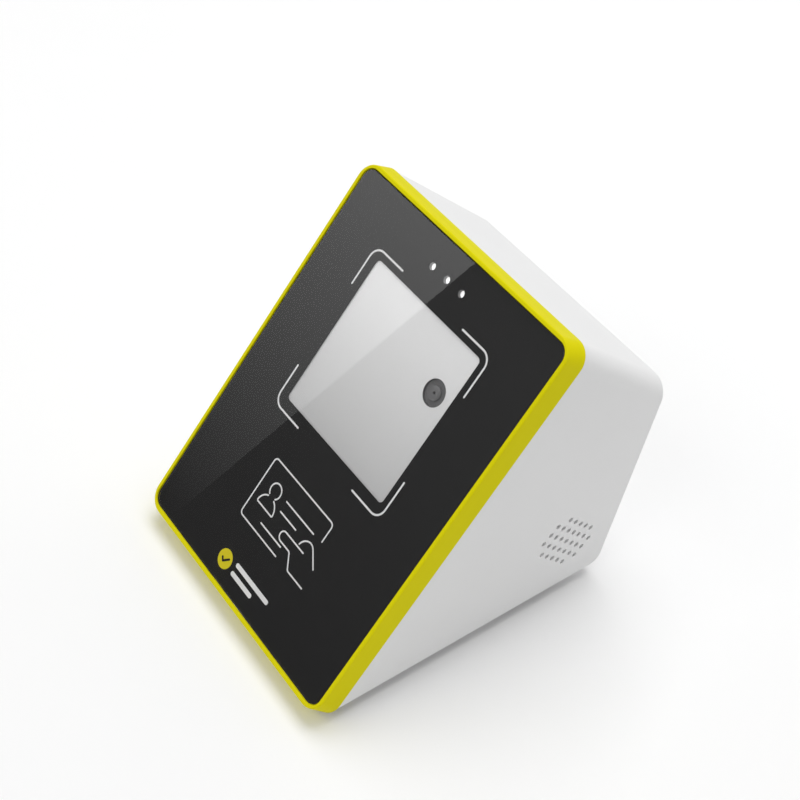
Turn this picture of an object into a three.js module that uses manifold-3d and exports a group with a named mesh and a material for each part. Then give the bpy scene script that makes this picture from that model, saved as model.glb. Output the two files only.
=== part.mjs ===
// A desktop ticket validator: a wedge-shaped housing with a sloping glass panel. Behind the glass are a
// lit window for reading screen codes, a camera, three indicator lamps and a card reader antenna.
// Millimetres, +Z up, the panel faces -Y. The origin is on the ground, under the middle of the object.
import * as THREE from "three";
import { mergeVertices } from "three/addons/utils/BufferGeometryUtils.js";
import Module from "manifold-3d";

const wasm = await Module();
wasm.setup();

const { degToRad } = THREE.MathUtils;
const quarter = Math.PI / 2;

// Driving dimensions
const tilt = degToRad(52.5); // panel above the ground plane
const draft = degToRad(3.5); // how the housing's walls draw in towards the back
const lean = degToRad(10.5); // the back wall beyond vertical
const seat = 0.15; // between faces that rest on or are bonded to each other
const fit = 0.3; // around a piece that drops into another

const pilot = 0.1; // a pilot hole's radius beyond its screw's
const root = 0.4; // how far a post or rib reaches into the wall it grows from
const beyond = 10; // how far a cutting tool runs past the wall it cuts

const glass = { width: 105, height: 140, thickness: 1.5, radius: 4.2 };
const tape = { thickness: 0.5, width: 4, corner: 1 };
const bezel = { rim: 2.5, proud: 0.3, depth: 7.4, wall: 2.2, ledge: 1.8, ledgeWidth: 5, round: 1.2 };
const housing = { inset: 0.3, wall: 2.5, fillet: 4, base: glass.height * Math.cos(tilt) + 31.3 };
const lip = { thickness: 1.8, root: 1.2, low: 18 }; // nests in the bezel
const foot = { radius: 7, height: 5.5, recess: 0.5, edge: 0.8, inset: 11, end: 16 };
const baseDrop = 2.5; // from the glass's bottom edge down to the housing's base
const carrier = { thickness: 1.6, post: 2.5, lampPost: 1.5 };
const screen = { size: 56, height: glass.height - 49, overlap: 2, thickness: 2 }; // the lit window
const box = { wall: 1.2, depth: 12, flange: 3 }; // the light box behind it
const fillLight = { board: 1.2, width: 3.5, height: 2.8, thickness: 0.8 };
const camera = { opening: 9.1, barrel: 8, length: 16, tail: 2.4, pupil: 1.8, dish: 2.2, behind: 0.2 };
Object.assign(camera, { x: screen.size / 2 - 7.3, height: screen.height + 10 });
const cameraBoard = { size: 22, post: 1.9, inset: 3, thickness: 1.2, holder: 13, sensor: 5 };
const lamp = { pitch: 7.7, height: glass.height - 10.4, radius: 1.2, standoff: 2.7 };
const lampBoard = { margin: 6.5, height: 7, thickness: 1, chip: 1.6, chipThickness: 0.6 };
const cover = { width: glass.width - 21, front: 18, back: housing.base - 10.5, thickness: 2.3, radius: 6 };
const ledge = { outside: 3, inside: 4, thickness: 2, corner: 3 }; // the cover rests against it
const screw = { radius: 1.4, head: 2.8, headHeight: 1.6, slot: 0.5, clearance: 0.3, length: 6 };
const bezelScrew = { x: glass.width / 2 - 28.5, pad: 10 };
bezelScrew.behind = bezel.depth + housing.wall + 2 * seat; // the glass's face to the head's underside
const ledgeRise = housing.wall + ledge.thickness - baseDrop; // the heads stay clear of the ledge
const headRise = ledgeRise + (bezelScrew.behind + screw.headHeight) * Math.cos(tilt);
bezelScrew.height = headRise / Math.sin(tilt) + screw.head + fit;
const antenna = { width: 58, gap: 3, thickness: 1, ferrite: 0.9 };
antenna.low = bezelScrew.height + bezelScrew.pad / 2 + 1;
antenna.height = screen.height - screen.size / 2 - screen.overlap - antenna.gap - antenna.low;
const board = { thickness: 1.6, low: 28, high: glass.height - 26, depth: 26, postInset: 3, postGap: 1.5 };
board.post = screen.size / 2 + box.flange + board.postGap + carrier.post; // clear of the light box
board.width = 2 * (board.post + board.postInset);
const shield = { width: 30, height: 26, thickness: 3.2, x: 8, up: 8 };
const plug = { width: 22, height: 6, thickness: 6, x: 6, up: 9 };
const vent = { length: 26, width: 2.4, pitch: 5, count: 5, forward: 14 };
const smallScrew = { radius: 0.8, head: 1.6, headHeight: 1.1, slot: 0.4, length: 4 };
const boss = { radius: 4, height: 6, inset: 6 };
const hook = { x: 30, width: 12, thickness: 2.2, reach: 3.6, barbLength: 1.4 };
const ports = { low: housing.base - 50.5, high: housing.base - 2.5, width: cover.width - 16, rise: 9 };
Object.assign(ports, { thickness: 1.6, post: 2.6, inset: 5, screwInset: 4, spacing: 6.5 });
const ethernet = { x: 12 - ports.width / 2, width: 16, height: 13.5, length: 18, wall: 1.2, cavity: 13 };
ethernet.mouth = { width: 11.9, height: 8.2 };
ethernet.latch = { width: 6.2, height: 2.2 };
const power = { width: 9, height: 11, length: 14, bore: 3.1, contact: 1, cavity: 10 };
power.x = ethernet.x + (ethernet.width + power.width) / 2 + ports.spacing;
const reset = { x: power.x + 15, radius: 2.3, travel: 0.8, stem: 1, bore: 3, flange: 3, flangeThickness: 1 };
Object.assign(reset, { width: 6, height: 6.4, recess: 0.9, edge: 0.4 });
const sam = { width: 26, length: 17, height: 1.8, x: 0, front: housing.base - 44.5, card: 0.8, lid: 0.4 };
Object.assign(sam, { pivot: 0.6, play: 0.2, cheek: 1.4, cheekLength: 4, rise: 2.5, rim: 1 });
const speaker = { radius: 15, y: housing.base - 18.5, height: 22.7, depth: 4.2, mesh: 0.4, sheet: 0.4 };
Object.assign(speaker, { ring: 2, ringDepth: 1.8, magnet: 9, magnetDepth: 6, coil: 4, coilWall: 0.5 });
Object.assign(speaker, { coilDepth: 3.4, base: 1.2, surround: 1.5, rim: 1.5, rimDepth: 3, travel: 0.4 });
const grille = { pitch: 3.75, radius: 0.97, slant: degToRad(45), rows: [5, 7, 7, 7, 5] };

// Places worked out from them
const ledgeDepth = glass.thickness + 2 * seat + tape.thickness;
const carrierDepth = ledgeDepth + bezel.ledge + seat;
const carrierBack = carrierDepth + carrier.thickness;
const panelMiddle = glass.height / 2;
const bezelWidth = glass.width + 2 * bezel.rim;
const bezelHeight = glass.height + 2 * bezel.rim;
const bezelRadius = glass.radius + bezel.rim;
const pocketWidth = bezelWidth - 2 * bezel.wall;
const bezelTop = glass.height + bezel.rim;
const pocketTop = bezelTop - bezel.wall;
const pocketLow = 6; // the bezel's bottom bar is solid up to here, in front of the housing's floor
const baseZ = foot.height;
const panelRise = baseZ + baseDrop;
const diffuserDepth = glass.thickness + 2 * seat;
const boxBack = carrierDepth + box.depth;
const portBoardZ = baseZ + ports.rise;
const portTop = portBoardZ + ports.thickness;

// Materials, shared by pieces of the same stuff
const paint = (color, roughness, metalness = 0, more = {}) =>
  new THREE.MeshStandardMaterial({ color, roughness, metalness, ...more });
const look = {
  yellow: paint(0xe6da1e, 0.35),
  white: paint(0xe8e8e8, 0.5),
  glass: paint(0x202020, 0.05, 0, { transparent: true, opacity: 0.35 }),
  tape: paint(0x141414, 0.9),
  black: paint(0x232323, 0.6),
  frosted: paint(0xd9d9d9, 0.55),
  brightWhite: paint(0xf4f4f4, 0.6),
  darkGrey: paint(0x4c4c4e, 0.45),
  lens: paint(0x0c0d10, 0.02),
  clear: paint(0xf7f7f7, 0.2),
  led: paint(0xf2e7a8, 0.3),
  board: paint(0x14532d, 0.5),
  blueBoard: paint(0x123c66, 0.5),
  ferrite: paint(0x2d2a29, 0.8),
  steel: paint(0xb9bcc0, 0.35, 1),
  rubber: paint(0x1d1d1d, 0.9),
  plastic: paint(0x161616, 0.55),
  paper: paint(0x2b2a28, 0.85),
  gold: paint(0xd8c48a, 0.4),
};

// Shapes and solids
function roundedRect(width, height, radius, x = 0, y = 0) {
  const [left, right] = [x - width / 2, x + width / 2];
  const [low, high] = [y - height / 2, y + height / 2];
  const shape = new THREE.Shape();
  shape.moveTo(left + radius, low);
  shape.lineTo(right - radius, low);
  shape.absarc(right - radius, low + radius, radius, -quarter, 0);
  shape.lineTo(right, high - radius);
  shape.absarc(right - radius, high - radius, radius, 0, quarter);
  shape.lineTo(left + radius, high);
  shape.absarc(left + radius, high - radius, radius, quarter, 2 * quarter);
  shape.lineTo(left, low + radius);
  shape.absarc(left + radius, low + radius, radius, 2 * quarter, 3 * quarter);
  return shape;
}

// Extrudes a shape from z = low upwards.
function slab(shape, low, thickness, curveSegments = 6) {
  const geometry = new THREE.ExtrudeGeometry(shape, { depth: thickness, bevelEnabled: false, curveSegments });
  return geometry.translate(0, 0, low);
}

// In the panel's frame, a plate whose front is this far behind the glass's front face.
const plate = (shape, front, thickness, segments) => slab(shape, -front - thickness, thickness, segments);

function block(width, length, height, x, y, low) {
  return new THREE.BoxGeometry(width, length, height).translate(x, y, low + height / 2);
}

// A cylinder that stands on z = low.
function rod(radius, height, x, y, low, segments = 24) {
  const geometry = new THREE.CylinderGeometry(radius, radius, height, segments);
  return geometry.rotateX(quarter).translate(x, y, low + height / 2);
}

// A cylinder along the panel's normal, with its front this far behind the glass's front face.
const pin = (radius, length, x, y, front, segments) => rod(radius, length, x, y, -front - length, segments);

// Turns [radius, height] pairs about the z axis.
function turned(profile, segments = 32) {
  const points = profile.map(([radius, height]) => new THREE.Vector2(radius, height));
  return new THREE.LatheGeometry(points, segments).rotateX(quarter);
}

function toSolid(geometry) {
  const bare = geometry.index ? geometry.toNonIndexed() : geometry.clone();
  bare.deleteAttribute("normal");
  bare.deleteAttribute("uv");
  const merged = mergeVertices(bare, 1e-4);
  const vertProperties = merged.attributes.position.array;
  const triVerts = new Uint32Array(merged.index.array);
  return new wasm.Manifold(new wasm.Mesh({ numProp: 3, vertProperties, triVerts }));
}

function toGeometry(solid) {
  const { vertProperties, triVerts } = solid.getMesh();
  const geometry = new THREE.BufferGeometry();
  geometry.setAttribute("position", new THREE.BufferAttribute(vertProperties, 3));
  geometry.setIndex(new THREE.BufferAttribute(triVerts, 1));
  geometry.computeVertexNormals();
  return geometry;
}

const join = (...pieces) => toGeometry(pieces.map(toSolid).reduce((sum, piece) => sum.add(piece)));
const cut = (body, ...tools) =>
  toGeometry(tools.map(toSolid).reduce((left, tool) => left.subtract(tool), toSolid(body)));
const common = (...pieces) => toGeometry(pieces.map(toSolid).reduce((sum, piece) => sum.intersect(piece)));

// The assembly's frames
const validator = new THREE.Group();
const assembly = new THREE.Group(); // y from the glass's bottom edge, z from the ground
const panel = new THREE.Group(); // x across, y up the panel, z out of the glass
panel.position.z = panelRise;
panel.rotation.x = tilt;
panel.updateMatrix();
validator.add(assembly);
assembly.add(panel);

function add(parent, name, geometry, material) {
  const mesh = new THREE.Mesh(geometry, material);
  mesh.name = name;
  parent.add(mesh);
  return mesh;
}

const fromPanel = (geometry) => geometry.clone().applyMatrix4(panel.matrix);

// A point of the assembly's y and z as a height up the panel and a depth behind it.
function toPanel(y, z) {
  const rise = z - panelRise;
  return {
    height: y * Math.cos(tilt) + rise * Math.sin(tilt),
    depth: y * Math.sin(tilt) - rise * Math.cos(tilt),
  };
}

// A pan-head screw with its head's underside at z = 0 and its shank below.
function panScrew(length, size = screw) {
  const { radius, head, headHeight, slot } = size;
  const body = turned(
    [[0, -length], [radius, -length], [radius, 0], [head, 0], [head, headHeight * 0.6],
      [head * 0.7, headHeight], [0, headHeight]],
    16,
  );
  const across = block(head * 1.1, slot, headHeight, 0, 0, headHeight * 0.5);
  const along = block(slot, head * 1.1, headHeight, 0, 0, headHeight * 0.5);
  return cut(body, across, along);
}

// Front glass, its tape and the yellow bezel
function addGlass() {
  const outline = roundedRect(glass.width, glass.height, glass.radius, 0, panelMiddle);
  add(panel, "front_glass", plate(outline, 0, glass.thickness), look.glass);
  const inner = roundedRect(
    glass.width - 2 * tape.width, glass.height - 2 * tape.width, tape.corner, 0, panelMiddle,
  );
  outline.holes.push(inner);
  add(panel, "glass_tape", plate(outline, glass.thickness + seat, tape.thickness), look.tape);
}

function bezelPocket(front, back) {
  const height = pocketTop - pocketLow;
  const shape = roundedRect(pocketWidth, height, bezelRadius - bezel.wall, 0, pocketLow + height / 2);
  return plate(shape, front, back - front);
}

function addBezel() {
  const { proud, depth, round, ledge, ledgeWidth } = bezel;
  const outline = roundedRect(bezelWidth, bezelHeight, bezelRadius, 0, panelMiddle);
  const rounded = new THREE.ExtrudeGeometry(outline, {
    depth: depth + proud,
    bevelThickness: round,
    bevelSize: round,
    bevelOffset: -round,
    bevelSegments: 3,
    curveSegments: 6,
  }).translate(0, 0, proud - round - (depth + proud));
  const keep = block(bezelWidth * 1.2, bezelHeight * 1.2, depth + proud + 1, 0, panelMiddle, -depth);
  const seatHole = roundedRect(
    glass.width + 2 * fit, glass.height + 2 * fit, glass.radius + fit, 0, panelMiddle,
  );
  const view = roundedRect(
    glass.width - 2 * ledgeWidth, glass.height - 2 * ledgeWidth, 2, 0, panelMiddle,
  );
  const ledgeBack = ledgeDepth + ledge;
  const frame = cut(
    common(rounded, keep),
    plate(seatHole, -proud - 1, ledgeDepth + proud + 1),
    plate(view, 0, depth),
    bezelPocket(ledgeBack, depth + 1),
  );
  const extras = [];
  for (const side of [-1, 1]) {
    const top = bezelScrew.height + bezelScrew.pad / 2;
    const pad = depth - ledgeDepth - fit;
    extras.push(block(bezelScrew.pad, top - 1, pad, side * bezelScrew.x, (top + 1) / 2, -ledgeDepth - pad));
    const hookY = pocketTop - lip.thickness - 2 * fit - hook.thickness / 2;
    const hookLength = depth + hook.reach - ledgeDepth - root;
    const low = hookY - hook.thickness / 2;
    const barbTop = bezelTop - housing.inset - housing.wall - Math.tan(draft) * hook.reach - fit;
    const bar = [side * hook.x, hookY, -depth - hook.reach];
    const barb = [side * hook.x, (low + barbTop) / 2, -depth - hook.reach];
    extras.push(block(hook.width, hook.thickness, hookLength, ...bar));
    extras.push(block(hook.width, barbTop - low, hook.barbLength, ...barb));
  }
  const pilots = [-1, 1].map((side) =>
    pin(screw.radius + pilot, beyond, side * bezelScrew.x, bezelScrew.height, ledgeDepth + 2 * root, 16));
  add(panel, "bezel", cut(join(frame, ...extras), ...pilots), look.yellow);
}

// The black carrier frame, which holds the window, lamps and boards behind the glass
const postPlaces = [-1, 1].flatMap((side) =>
  [board.low + 4, board.high - 4].map((height) => [side * board.post, height]));

function addCarrier() {
  const width = pocketWidth - 2 * fit;
  const height = pocketTop - pocketLow - 2 * fit;
  const radius = bezelRadius - bezel.wall - fit;
  const outline = roundedRect(width, height, radius, 0, pocketLow + fit + height / 2);
  outline.holes.push(roundedRect(screen.size, screen.size, 1, 0, screen.height));
  const sheet = plate(outline, carrierDepth, carrier.thickness);
  const notch = (across, up, x, y) => block(across, up, beyond, x, y, -carrierBack - beyond / 2);
  const gone = [];
  for (const side of [-1, 1]) {
    const padTop = bezelScrew.height + bezelScrew.pad / 2 + fit;
    gone.push(notch(bezelScrew.pad + 2 * fit, padTop, side * bezelScrew.x, padTop / 2));
    gone.push(notch(hook.width + 2 * fit, beyond, side * hook.x, pocketTop));
  }
  for (const step of [-1, 0, 1])
    gone.push(pin(lamp.radius + fit, beyond, step * lamp.pitch, lamp.height, 0, 16));
  const post = (radius, length, [x, y], segments) =>
    pin(radius, length + root, x, y, carrierBack - root, segments);
  const boardPosts = postPlaces.map((place) =>
    post(carrier.post, board.depth - carrierBack - seat, place, 16));
  const lampPosts = [-1, 1].map((side) =>
    post(carrier.lampPost, lamp.standoff - seat, [side * (lamp.pitch + 4), lamp.height], 12));
  const pilots = postPlaces.map(([x, y]) => pin(screw.radius + pilot, beyond, x, y, board.depth - 8, 16));
  const frame = cut(join(cut(sheet, ...gone), ...boardPosts, ...lampPosts), ...pilots);
  add(panel, "carrier_frame", frame, look.black);
}

const cameraFront = diffuserDepth + camera.behind;
const cameraBoardFront = cameraFront + camera.length + camera.tail + seat;
const cameraPosts = [-1, 1].map((side) => {
  const reach = cameraBoard.size / 2 - cameraBoard.inset;
  return [camera.x + side * reach, camera.height - side * reach];
});

// The lit window: a frosted diffuser, a white light box and its lamp board
function addWindow() {
  const square = (size, radius) => roundedRect(size, size, radius, 0, screen.height);
  const diffuser = cut(
    plate(square(screen.size + 2 * screen.overlap, 2), diffuserDepth, screen.thickness),
    pin(camera.opening / 2, beyond, camera.x, camera.height, 0, 40),
  );
  add(panel, "diffuser_plate", diffuser, look.frosted);

  const outer = screen.size - 2 * fit;
  const inner = outer - 2 * box.wall;
  const barrelHole = pin(camera.barrel / 2 + fit, 3 * beyond, camera.x, camera.height, 0, 32);
  const postLength = cameraBoardFront - boxBack - seat;
  const posts = cameraPosts.map(([x, y]) =>
    pin(cameraBoard.post, postLength + root, x, y, boxBack - root, 16));
  const pilots = cameraPosts.map(([x, y]) =>
    pin(smallScrew.radius + pilot, beyond, x, y, cameraBoardFront - postLength + root, 12));
  const shell = join(
    plate(square(outer, 2), carrierDepth, box.depth),
    plate(square(outer + 2 * box.flange, 2), carrierBack + seat, box.wall),
    ...posts,
  );
  const hollow = plate(square(inner, 1), carrierDepth - 1, box.depth + 1 - box.wall);
  add(panel, "light_box", cut(shell, hollow, barrelHole, ...pilots), look.brightWhite);

  const boardSize = inner - 2 * fit;
  const boardFront = boxBack - box.wall - seat - fillLight.board;
  const lampPlate = cut(plate(square(boardSize, 1), boardFront, fillLight.board), barrelHole);
  add(panel, "fill_light_board", lampPlate, look.brightWhite);
  const spread = boardSize / 3;
  const places = [[-1, -1], [1, -1], [-1, 1], [0.3, 1]]; // the last stands clear of the camera
  places.forEach(([across, up], index) => {
    const { width, height, thickness } = fillLight;
    const chip = roundedRect(width, height, 0.2, across * spread, screen.height + up * spread);
    add(panel, `fill_led_${index + 1}`, plate(chip, boardFront - seat - thickness, thickness, 1), look.led);
  });
}

// The camera that reads the code through the window
function addCamera() {
  const { x, height, barrel, length, pupil, dish } = camera;
  const mount = new THREE.Group(); // z points at the code, 0 is the barrel's front face
  mount.position.set(x, height, -cameraFront);
  panel.add(mount);
  const radius = barrel / 2;
  const edge = fit;
  const tube = turned([
    [pupil, -length], [radius, -length], [radius, -edge], [radius - edge, 0], [radius - 2 * edge, 0],
    [pupil, -dish], [pupil, -length],
  ]);
  add(mount, "lens_barrel", tube, look.darkGrey);
  const rim = pupil - pilot;
  const element = turned([
    [0, -dish - 3], [rim, -dish - 3], [rim, -dish - 0.5], [rim / 2, -dish - 0.15], [0, -dish],
  ], 24);
  add(mount, "lens_element", element, look.lens);

  const holderFront = boxBack - cameraFront + seat;
  const boardFront = cameraBoardFront - cameraFront;
  const square = (size, corner) => roundedRect(size, size, corner);
  const holder = cut(
    plate(square(cameraBoard.holder, 1), holderFront, boardFront - seat - holderFront),
    pin(radius + pilot, 3 * beyond, 0, 0, 0, 32),
  );
  add(mount, "lens_holder", holder, look.plastic);
  const holes = cameraPosts.map(([postX, postY]) =>
    pin(smallScrew.radius + fit, beyond, postX - x, postY - height, boardFront - 1, 12));
  const sheet = plate(square(cameraBoard.size, 1), boardFront, cameraBoard.thickness, 2);
  add(mount, "camera_board", cut(sheet, ...holes), look.board);
  const chip = plate(square(cameraBoard.sensor, 0.3), boardFront - seat - 0.9, 0.9, 1);
  add(mount, "image_sensor", chip, look.lens);
  cameraPosts.forEach(([postX, postY], index) => {
    const fixing = add(panel, `camera_screw_${index + 1}`, panScrew(smallScrew.length, smallScrew), look.steel);
    fixing.rotation.x = 2 * quarter;
    fixing.position.set(postX, postY, -cameraBoardFront - cameraBoard.thickness - seat);
  });
}

// Three indicator lamps at the top of the panel
function addLamps() {
  const { chip, chipThickness, margin, height, thickness } = lampBoard;
  const boardFront = carrierBack + lamp.standoff;
  const chipFront = boardFront - seat - chipThickness;
  ["left", "centre", "right"].forEach((side, index) => {
    const x = (index - 1) * lamp.pitch;
    const pipe = pin(lamp.radius, chipFront - seat - diffuserDepth, x, lamp.height, diffuserDepth, 20);
    add(panel, `indicator_pipe_${side}`, pipe, look.clear);
    const led = plate(roundedRect(chip, chip, 0.1, x, lamp.height), chipFront, chipThickness, 1);
    add(panel, `indicator_led_${side}`, led, look.led);
  });
  const strip = roundedRect(2 * (lamp.pitch + margin), height, 1, 0, lamp.height);
  add(panel, "indicator_board", plate(strip, boardFront, thickness, 2), look.board);
}

// The card reader's antenna and the ferrite that screens it from the boards
function addAntenna() {
  const { width, height, low, thickness, ferrite } = antenna;
  const middle = low + height / 2;
  const sheet = plate(roundedRect(width, height, 2, 0, middle), diffuserDepth, thickness, 3);
  add(panel, "antenna_board", sheet, look.blueBoard);
  const behind = plate(roundedRect(width - 2, height - 2, 2, 0, middle),
    diffuserDepth + thickness + seat, ferrite, 3);
  add(panel, "ferrite_sheet", behind, look.ferrite);
}

// The main board with its shield and connector
function addMainBoard() {
  const { thickness, width, low, high, depth } = board;
  const middle = (low + high) / 2;
  const back = depth + thickness;
  const holes = postPlaces.map(([x, y]) =>
    pin(screw.radius + screw.clearance, beyond, x, y, depth - 1, 16));
  const sheet = plate(roundedRect(width, high - low, 2, 0, middle), depth, thickness, 3);
  add(panel, "main_board", cut(sheet, ...holes), look.board);
  const can = roundedRect(shield.width, shield.height, 1, shield.x, middle + shield.up);
  add(panel, "processor_shield", plate(can, back + seat, shield.thickness, 3), look.steel);
  const shell = roundedRect(plug.width, plug.height, 0.4, plug.x, low + plug.up);
  add(panel, "board_connector", plate(shell, back + seat, plug.thickness, 1), look.brightWhite);
  postPlaces.forEach(([x, y], index) => {
    const mesh = add(panel, `board_screw_${index + 1}`, panScrew(screw.length), look.steel);
    mesh.rotation.x = 2 * quarter;
    mesh.position.set(x, y, -back - seat);
  });
}

// The white housing
const backAt = (z, inset = 0) => housing.base + (z - baseZ) * Math.tan(lean) - inset / Math.cos(lean);

// The housing's walls as drawn in by the draft, this far inside the outer skin.
function taperedBlock(inset, front, back) {
  const offset = 2 * (housing.inset + inset);
  const radius = bezelRadius - housing.inset - inset;
  const shape = roundedRect(bezelWidth - offset, bezelHeight - offset, radius, 0, panelMiddle);
  const geometry = plate(shape, front, back - front, 8);
  const at = geometry.attributes.position;
  for (let i = 0; i < at.count; i++) {
    const drawIn = Math.tan(draft) * (-at.getZ(i) - bezel.depth);
    at.setX(i, at.getX(i) - Math.sign(at.getX(i)) * drawIn);
    at.setY(i, at.getY(i) - Math.sign(at.getY(i) - panelMiddle) * drawIn);
  }
  return fromPanel(geometry);
}

// Everything above the base and in front of the back wall, this far inside the outer skin.
function sideProfile(inset, fillet) {
  const floor = baseZ + inset;
  const reach = 200;
  const shape = new THREE.Shape();
  shape.moveTo(-reach, floor);
  const centre = backAt(floor + fillet, inset) - fillet / Math.cos(lean);
  shape.lineTo(centre, floor);
  shape.absarc(centre, floor + fillet, fillet, -quarter, -lean);
  shape.lineTo(backAt(reach, inset), reach);
  shape.lineTo(-reach, reach);
  return slab(shape, -reach / 2, reach, 6).rotateX(quarter).rotateZ(quarter);
}

const coverPlace = [0, (cover.front + cover.back) / 2];
const coverSize = [cover.width, cover.back - cover.front];
const coverScrews = [-1, 1].flatMap((side) =>
  [cover.front + boss.inset, cover.back - boss.inset].map((y) =>
    [side * (cover.width / 2 - boss.inset), y]));

function coverOutline(grow) {
  const [width, length] = coverSize;
  return roundedRect(width + 2 * grow, length + 2 * grow, cover.radius + grow, ...coverPlace);
}

// The speaker's place: z is out through the right wall, 0 is the wall's inner face.
const speakerMount = new THREE.Group();
function placeSpeaker() {
  const { height, depth } = toPanel(speaker.y, baseZ + speaker.height);
  const drawIn = Math.tan(draft) * (depth - bezel.depth);
  const wallX = bezelWidth / 2 - housing.inset - drawIn - housing.wall / Math.cos(draft);
  speakerMount.position.set(wallX, height, -depth);
  speakerMount.rotation.y = quarter + draft;
  panel.add(speakerMount);
  speakerMount.updateMatrix();
}

// Short rows of holes, at 45 degrees to the ground.
function grilleHoles() {
  const angle = quarter - tilt - grille.slant;
  const holes = [];
  grille.rows.forEach((count, row) => {
    const up = (row - (grille.rows.length - 1) / 2) * grille.pitch;
    for (let n = 0; n < count; n++) {
      const along = (n - (count - 1) / 2) * grille.pitch;
      holes.push(rod(grille.radius, beyond, along, up, -beyond / 2, 12).rotateZ(angle));
    }
  });
  return holes;
}

// A lip that nests in the bezel's pocket on the sides and top
function housingLip() {
  const width = pocketWidth - 2 * fit;
  const top = pocketTop - fit;
  const height = top + beyond; // the part below lip.low is cut off
  const ring = roundedRect(width, height, bezelRadius - bezel.wall - fit, 0, top - height / 2);
  const inside = [width - 2 * lip.thickness, height - 2 * lip.thickness];
  ring.holes.push(roundedRect(...inside, bezelRadius - bezel.wall - lip.thickness, 0, top - height / 2));
  const front = carrierBack + seat;
  return common(
    plate(ring, front, bezel.depth + lip.root - front),
    block(2 * width, top, 2 * beyond, 0, lip.low + top / 2, -2 * beyond),
  );
}

function addHousing() {
  const { wall, fillet } = housing;
  const front = bezel.depth + seat;
  const farBack = glass.height;
  const skin = common(taperedBlock(0, front, farBack), sideProfile(0, fillet));
  const cavity = common(taperedBlock(wall, bezel.depth - 1, farBack), sideProfile(wall, fillet - wall));

  // ears for the two screws that hold the bezel
  const ears = [-1, 1].map((side) => {
    const top = bezelScrew.height + bezelScrew.pad / 2;
    const low = pocketLow - 2 * root;
    return block(bezelScrew.pad, top - low, wall, side * bezelScrew.x, (top + low) / 2, -front - wall);
  });
  const earHoles = [-1, 1].map((side) =>
    pin(screw.radius + screw.clearance, beyond, side * bezelScrew.x, bezelScrew.height, front - 2, 16));

  // a ledge and bosses for the base cover
  const ring = coverOutline(ledge.outside);
  const [ringWidth, ringLength] = coverSize.map((size) => size - 2 * ledge.inside);
  ring.holes.push(roundedRect(ringWidth, ringLength, ledge.corner, ...coverPlace));
  const rest = slab(ring, baseZ + wall - pilot, ledge.thickness);
  const bosses = coverScrews.map(([x, y]) => rod(boss.radius, boss.height, x, y, baseZ + wall, 20));
  const bossHoles = coverScrews.map(([x, y]) =>
    rod(screw.radius + pilot, boss.height + wall - 1, x, y, baseZ, 16));

  // a rim that locates the speaker
  const inner = speaker.radius + fit;
  const rim = turned([
    [inner, -speaker.rimDepth], [inner + speaker.rim, -speaker.rimDepth], [inner + speaker.rim, root],
    [inner, root], [inner, -speaker.rimDepth],
  ]);
  const inPanel = (geometry) => fromPanel(geometry.clone().applyMatrix4(speakerMount.matrix));

  // openings in the back wall for the sockets and the button
  const toBack = (geometry) => geometry.rotateX(quarter).translate(0, housing.base + 2 * beyond, 0);
  const opening = ({ x, width, height }) => {
    const shape = roundedRect(width + 2 * fit, height + 2 * fit, 2 * fit, x, socketFloor + height / 2);
    return toBack(slab(shape, 0, 4 * beyond, 2));
  };
  const buttonHole = rod(reset.radius + fit, 4 * beyond, reset.x, socketFloor + reset.height / 2, 0, 24);

  const body = cut(skin, cavity, slab(coverOutline(fit), baseZ - beyond, wall + beyond));
  const whole = join(body, rest, ...bosses, ...[housingLip(), ...ears].map(fromPanel), inPanel(rim));
  const holes = [...bossHoles, ...earHoles.map(fromPanel), ...grilleHoles().map(inPanel)];
  const trimmed = cut(whole, ...holes, opening(ethernet), opening(power), toBack(buttonHole));
  add(assembly, "housing", trimmed, look.white);

  ["left", "right"].forEach((name, index) => {
    const mesh = add(panel, `bezel_screw_${name}`, panScrew(screw.length), look.steel);
    mesh.rotation.x = 2 * quarter;
    mesh.position.set((2 * index - 1) * bezelScrew.x, bezelScrew.height, -bezelScrew.behind);
  });
}

// The base cover, its screws and the rubber feet
const footPlaces = [-1, 1].flatMap((side) =>
  [cover.front + foot.end, cover.back - foot.end].map((y) => [side * (cover.width / 2 - foot.inset), y]));
const portSides = [-1, 1].map((side) => side * (ports.width / 2 - ports.inset));
const portPosts = portSides.map((x) => [x, ports.low + ports.screwInset]); // with screws
const portRests = portSides.map((x) => [x, cover.back - boss.inset - 3]);

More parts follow.
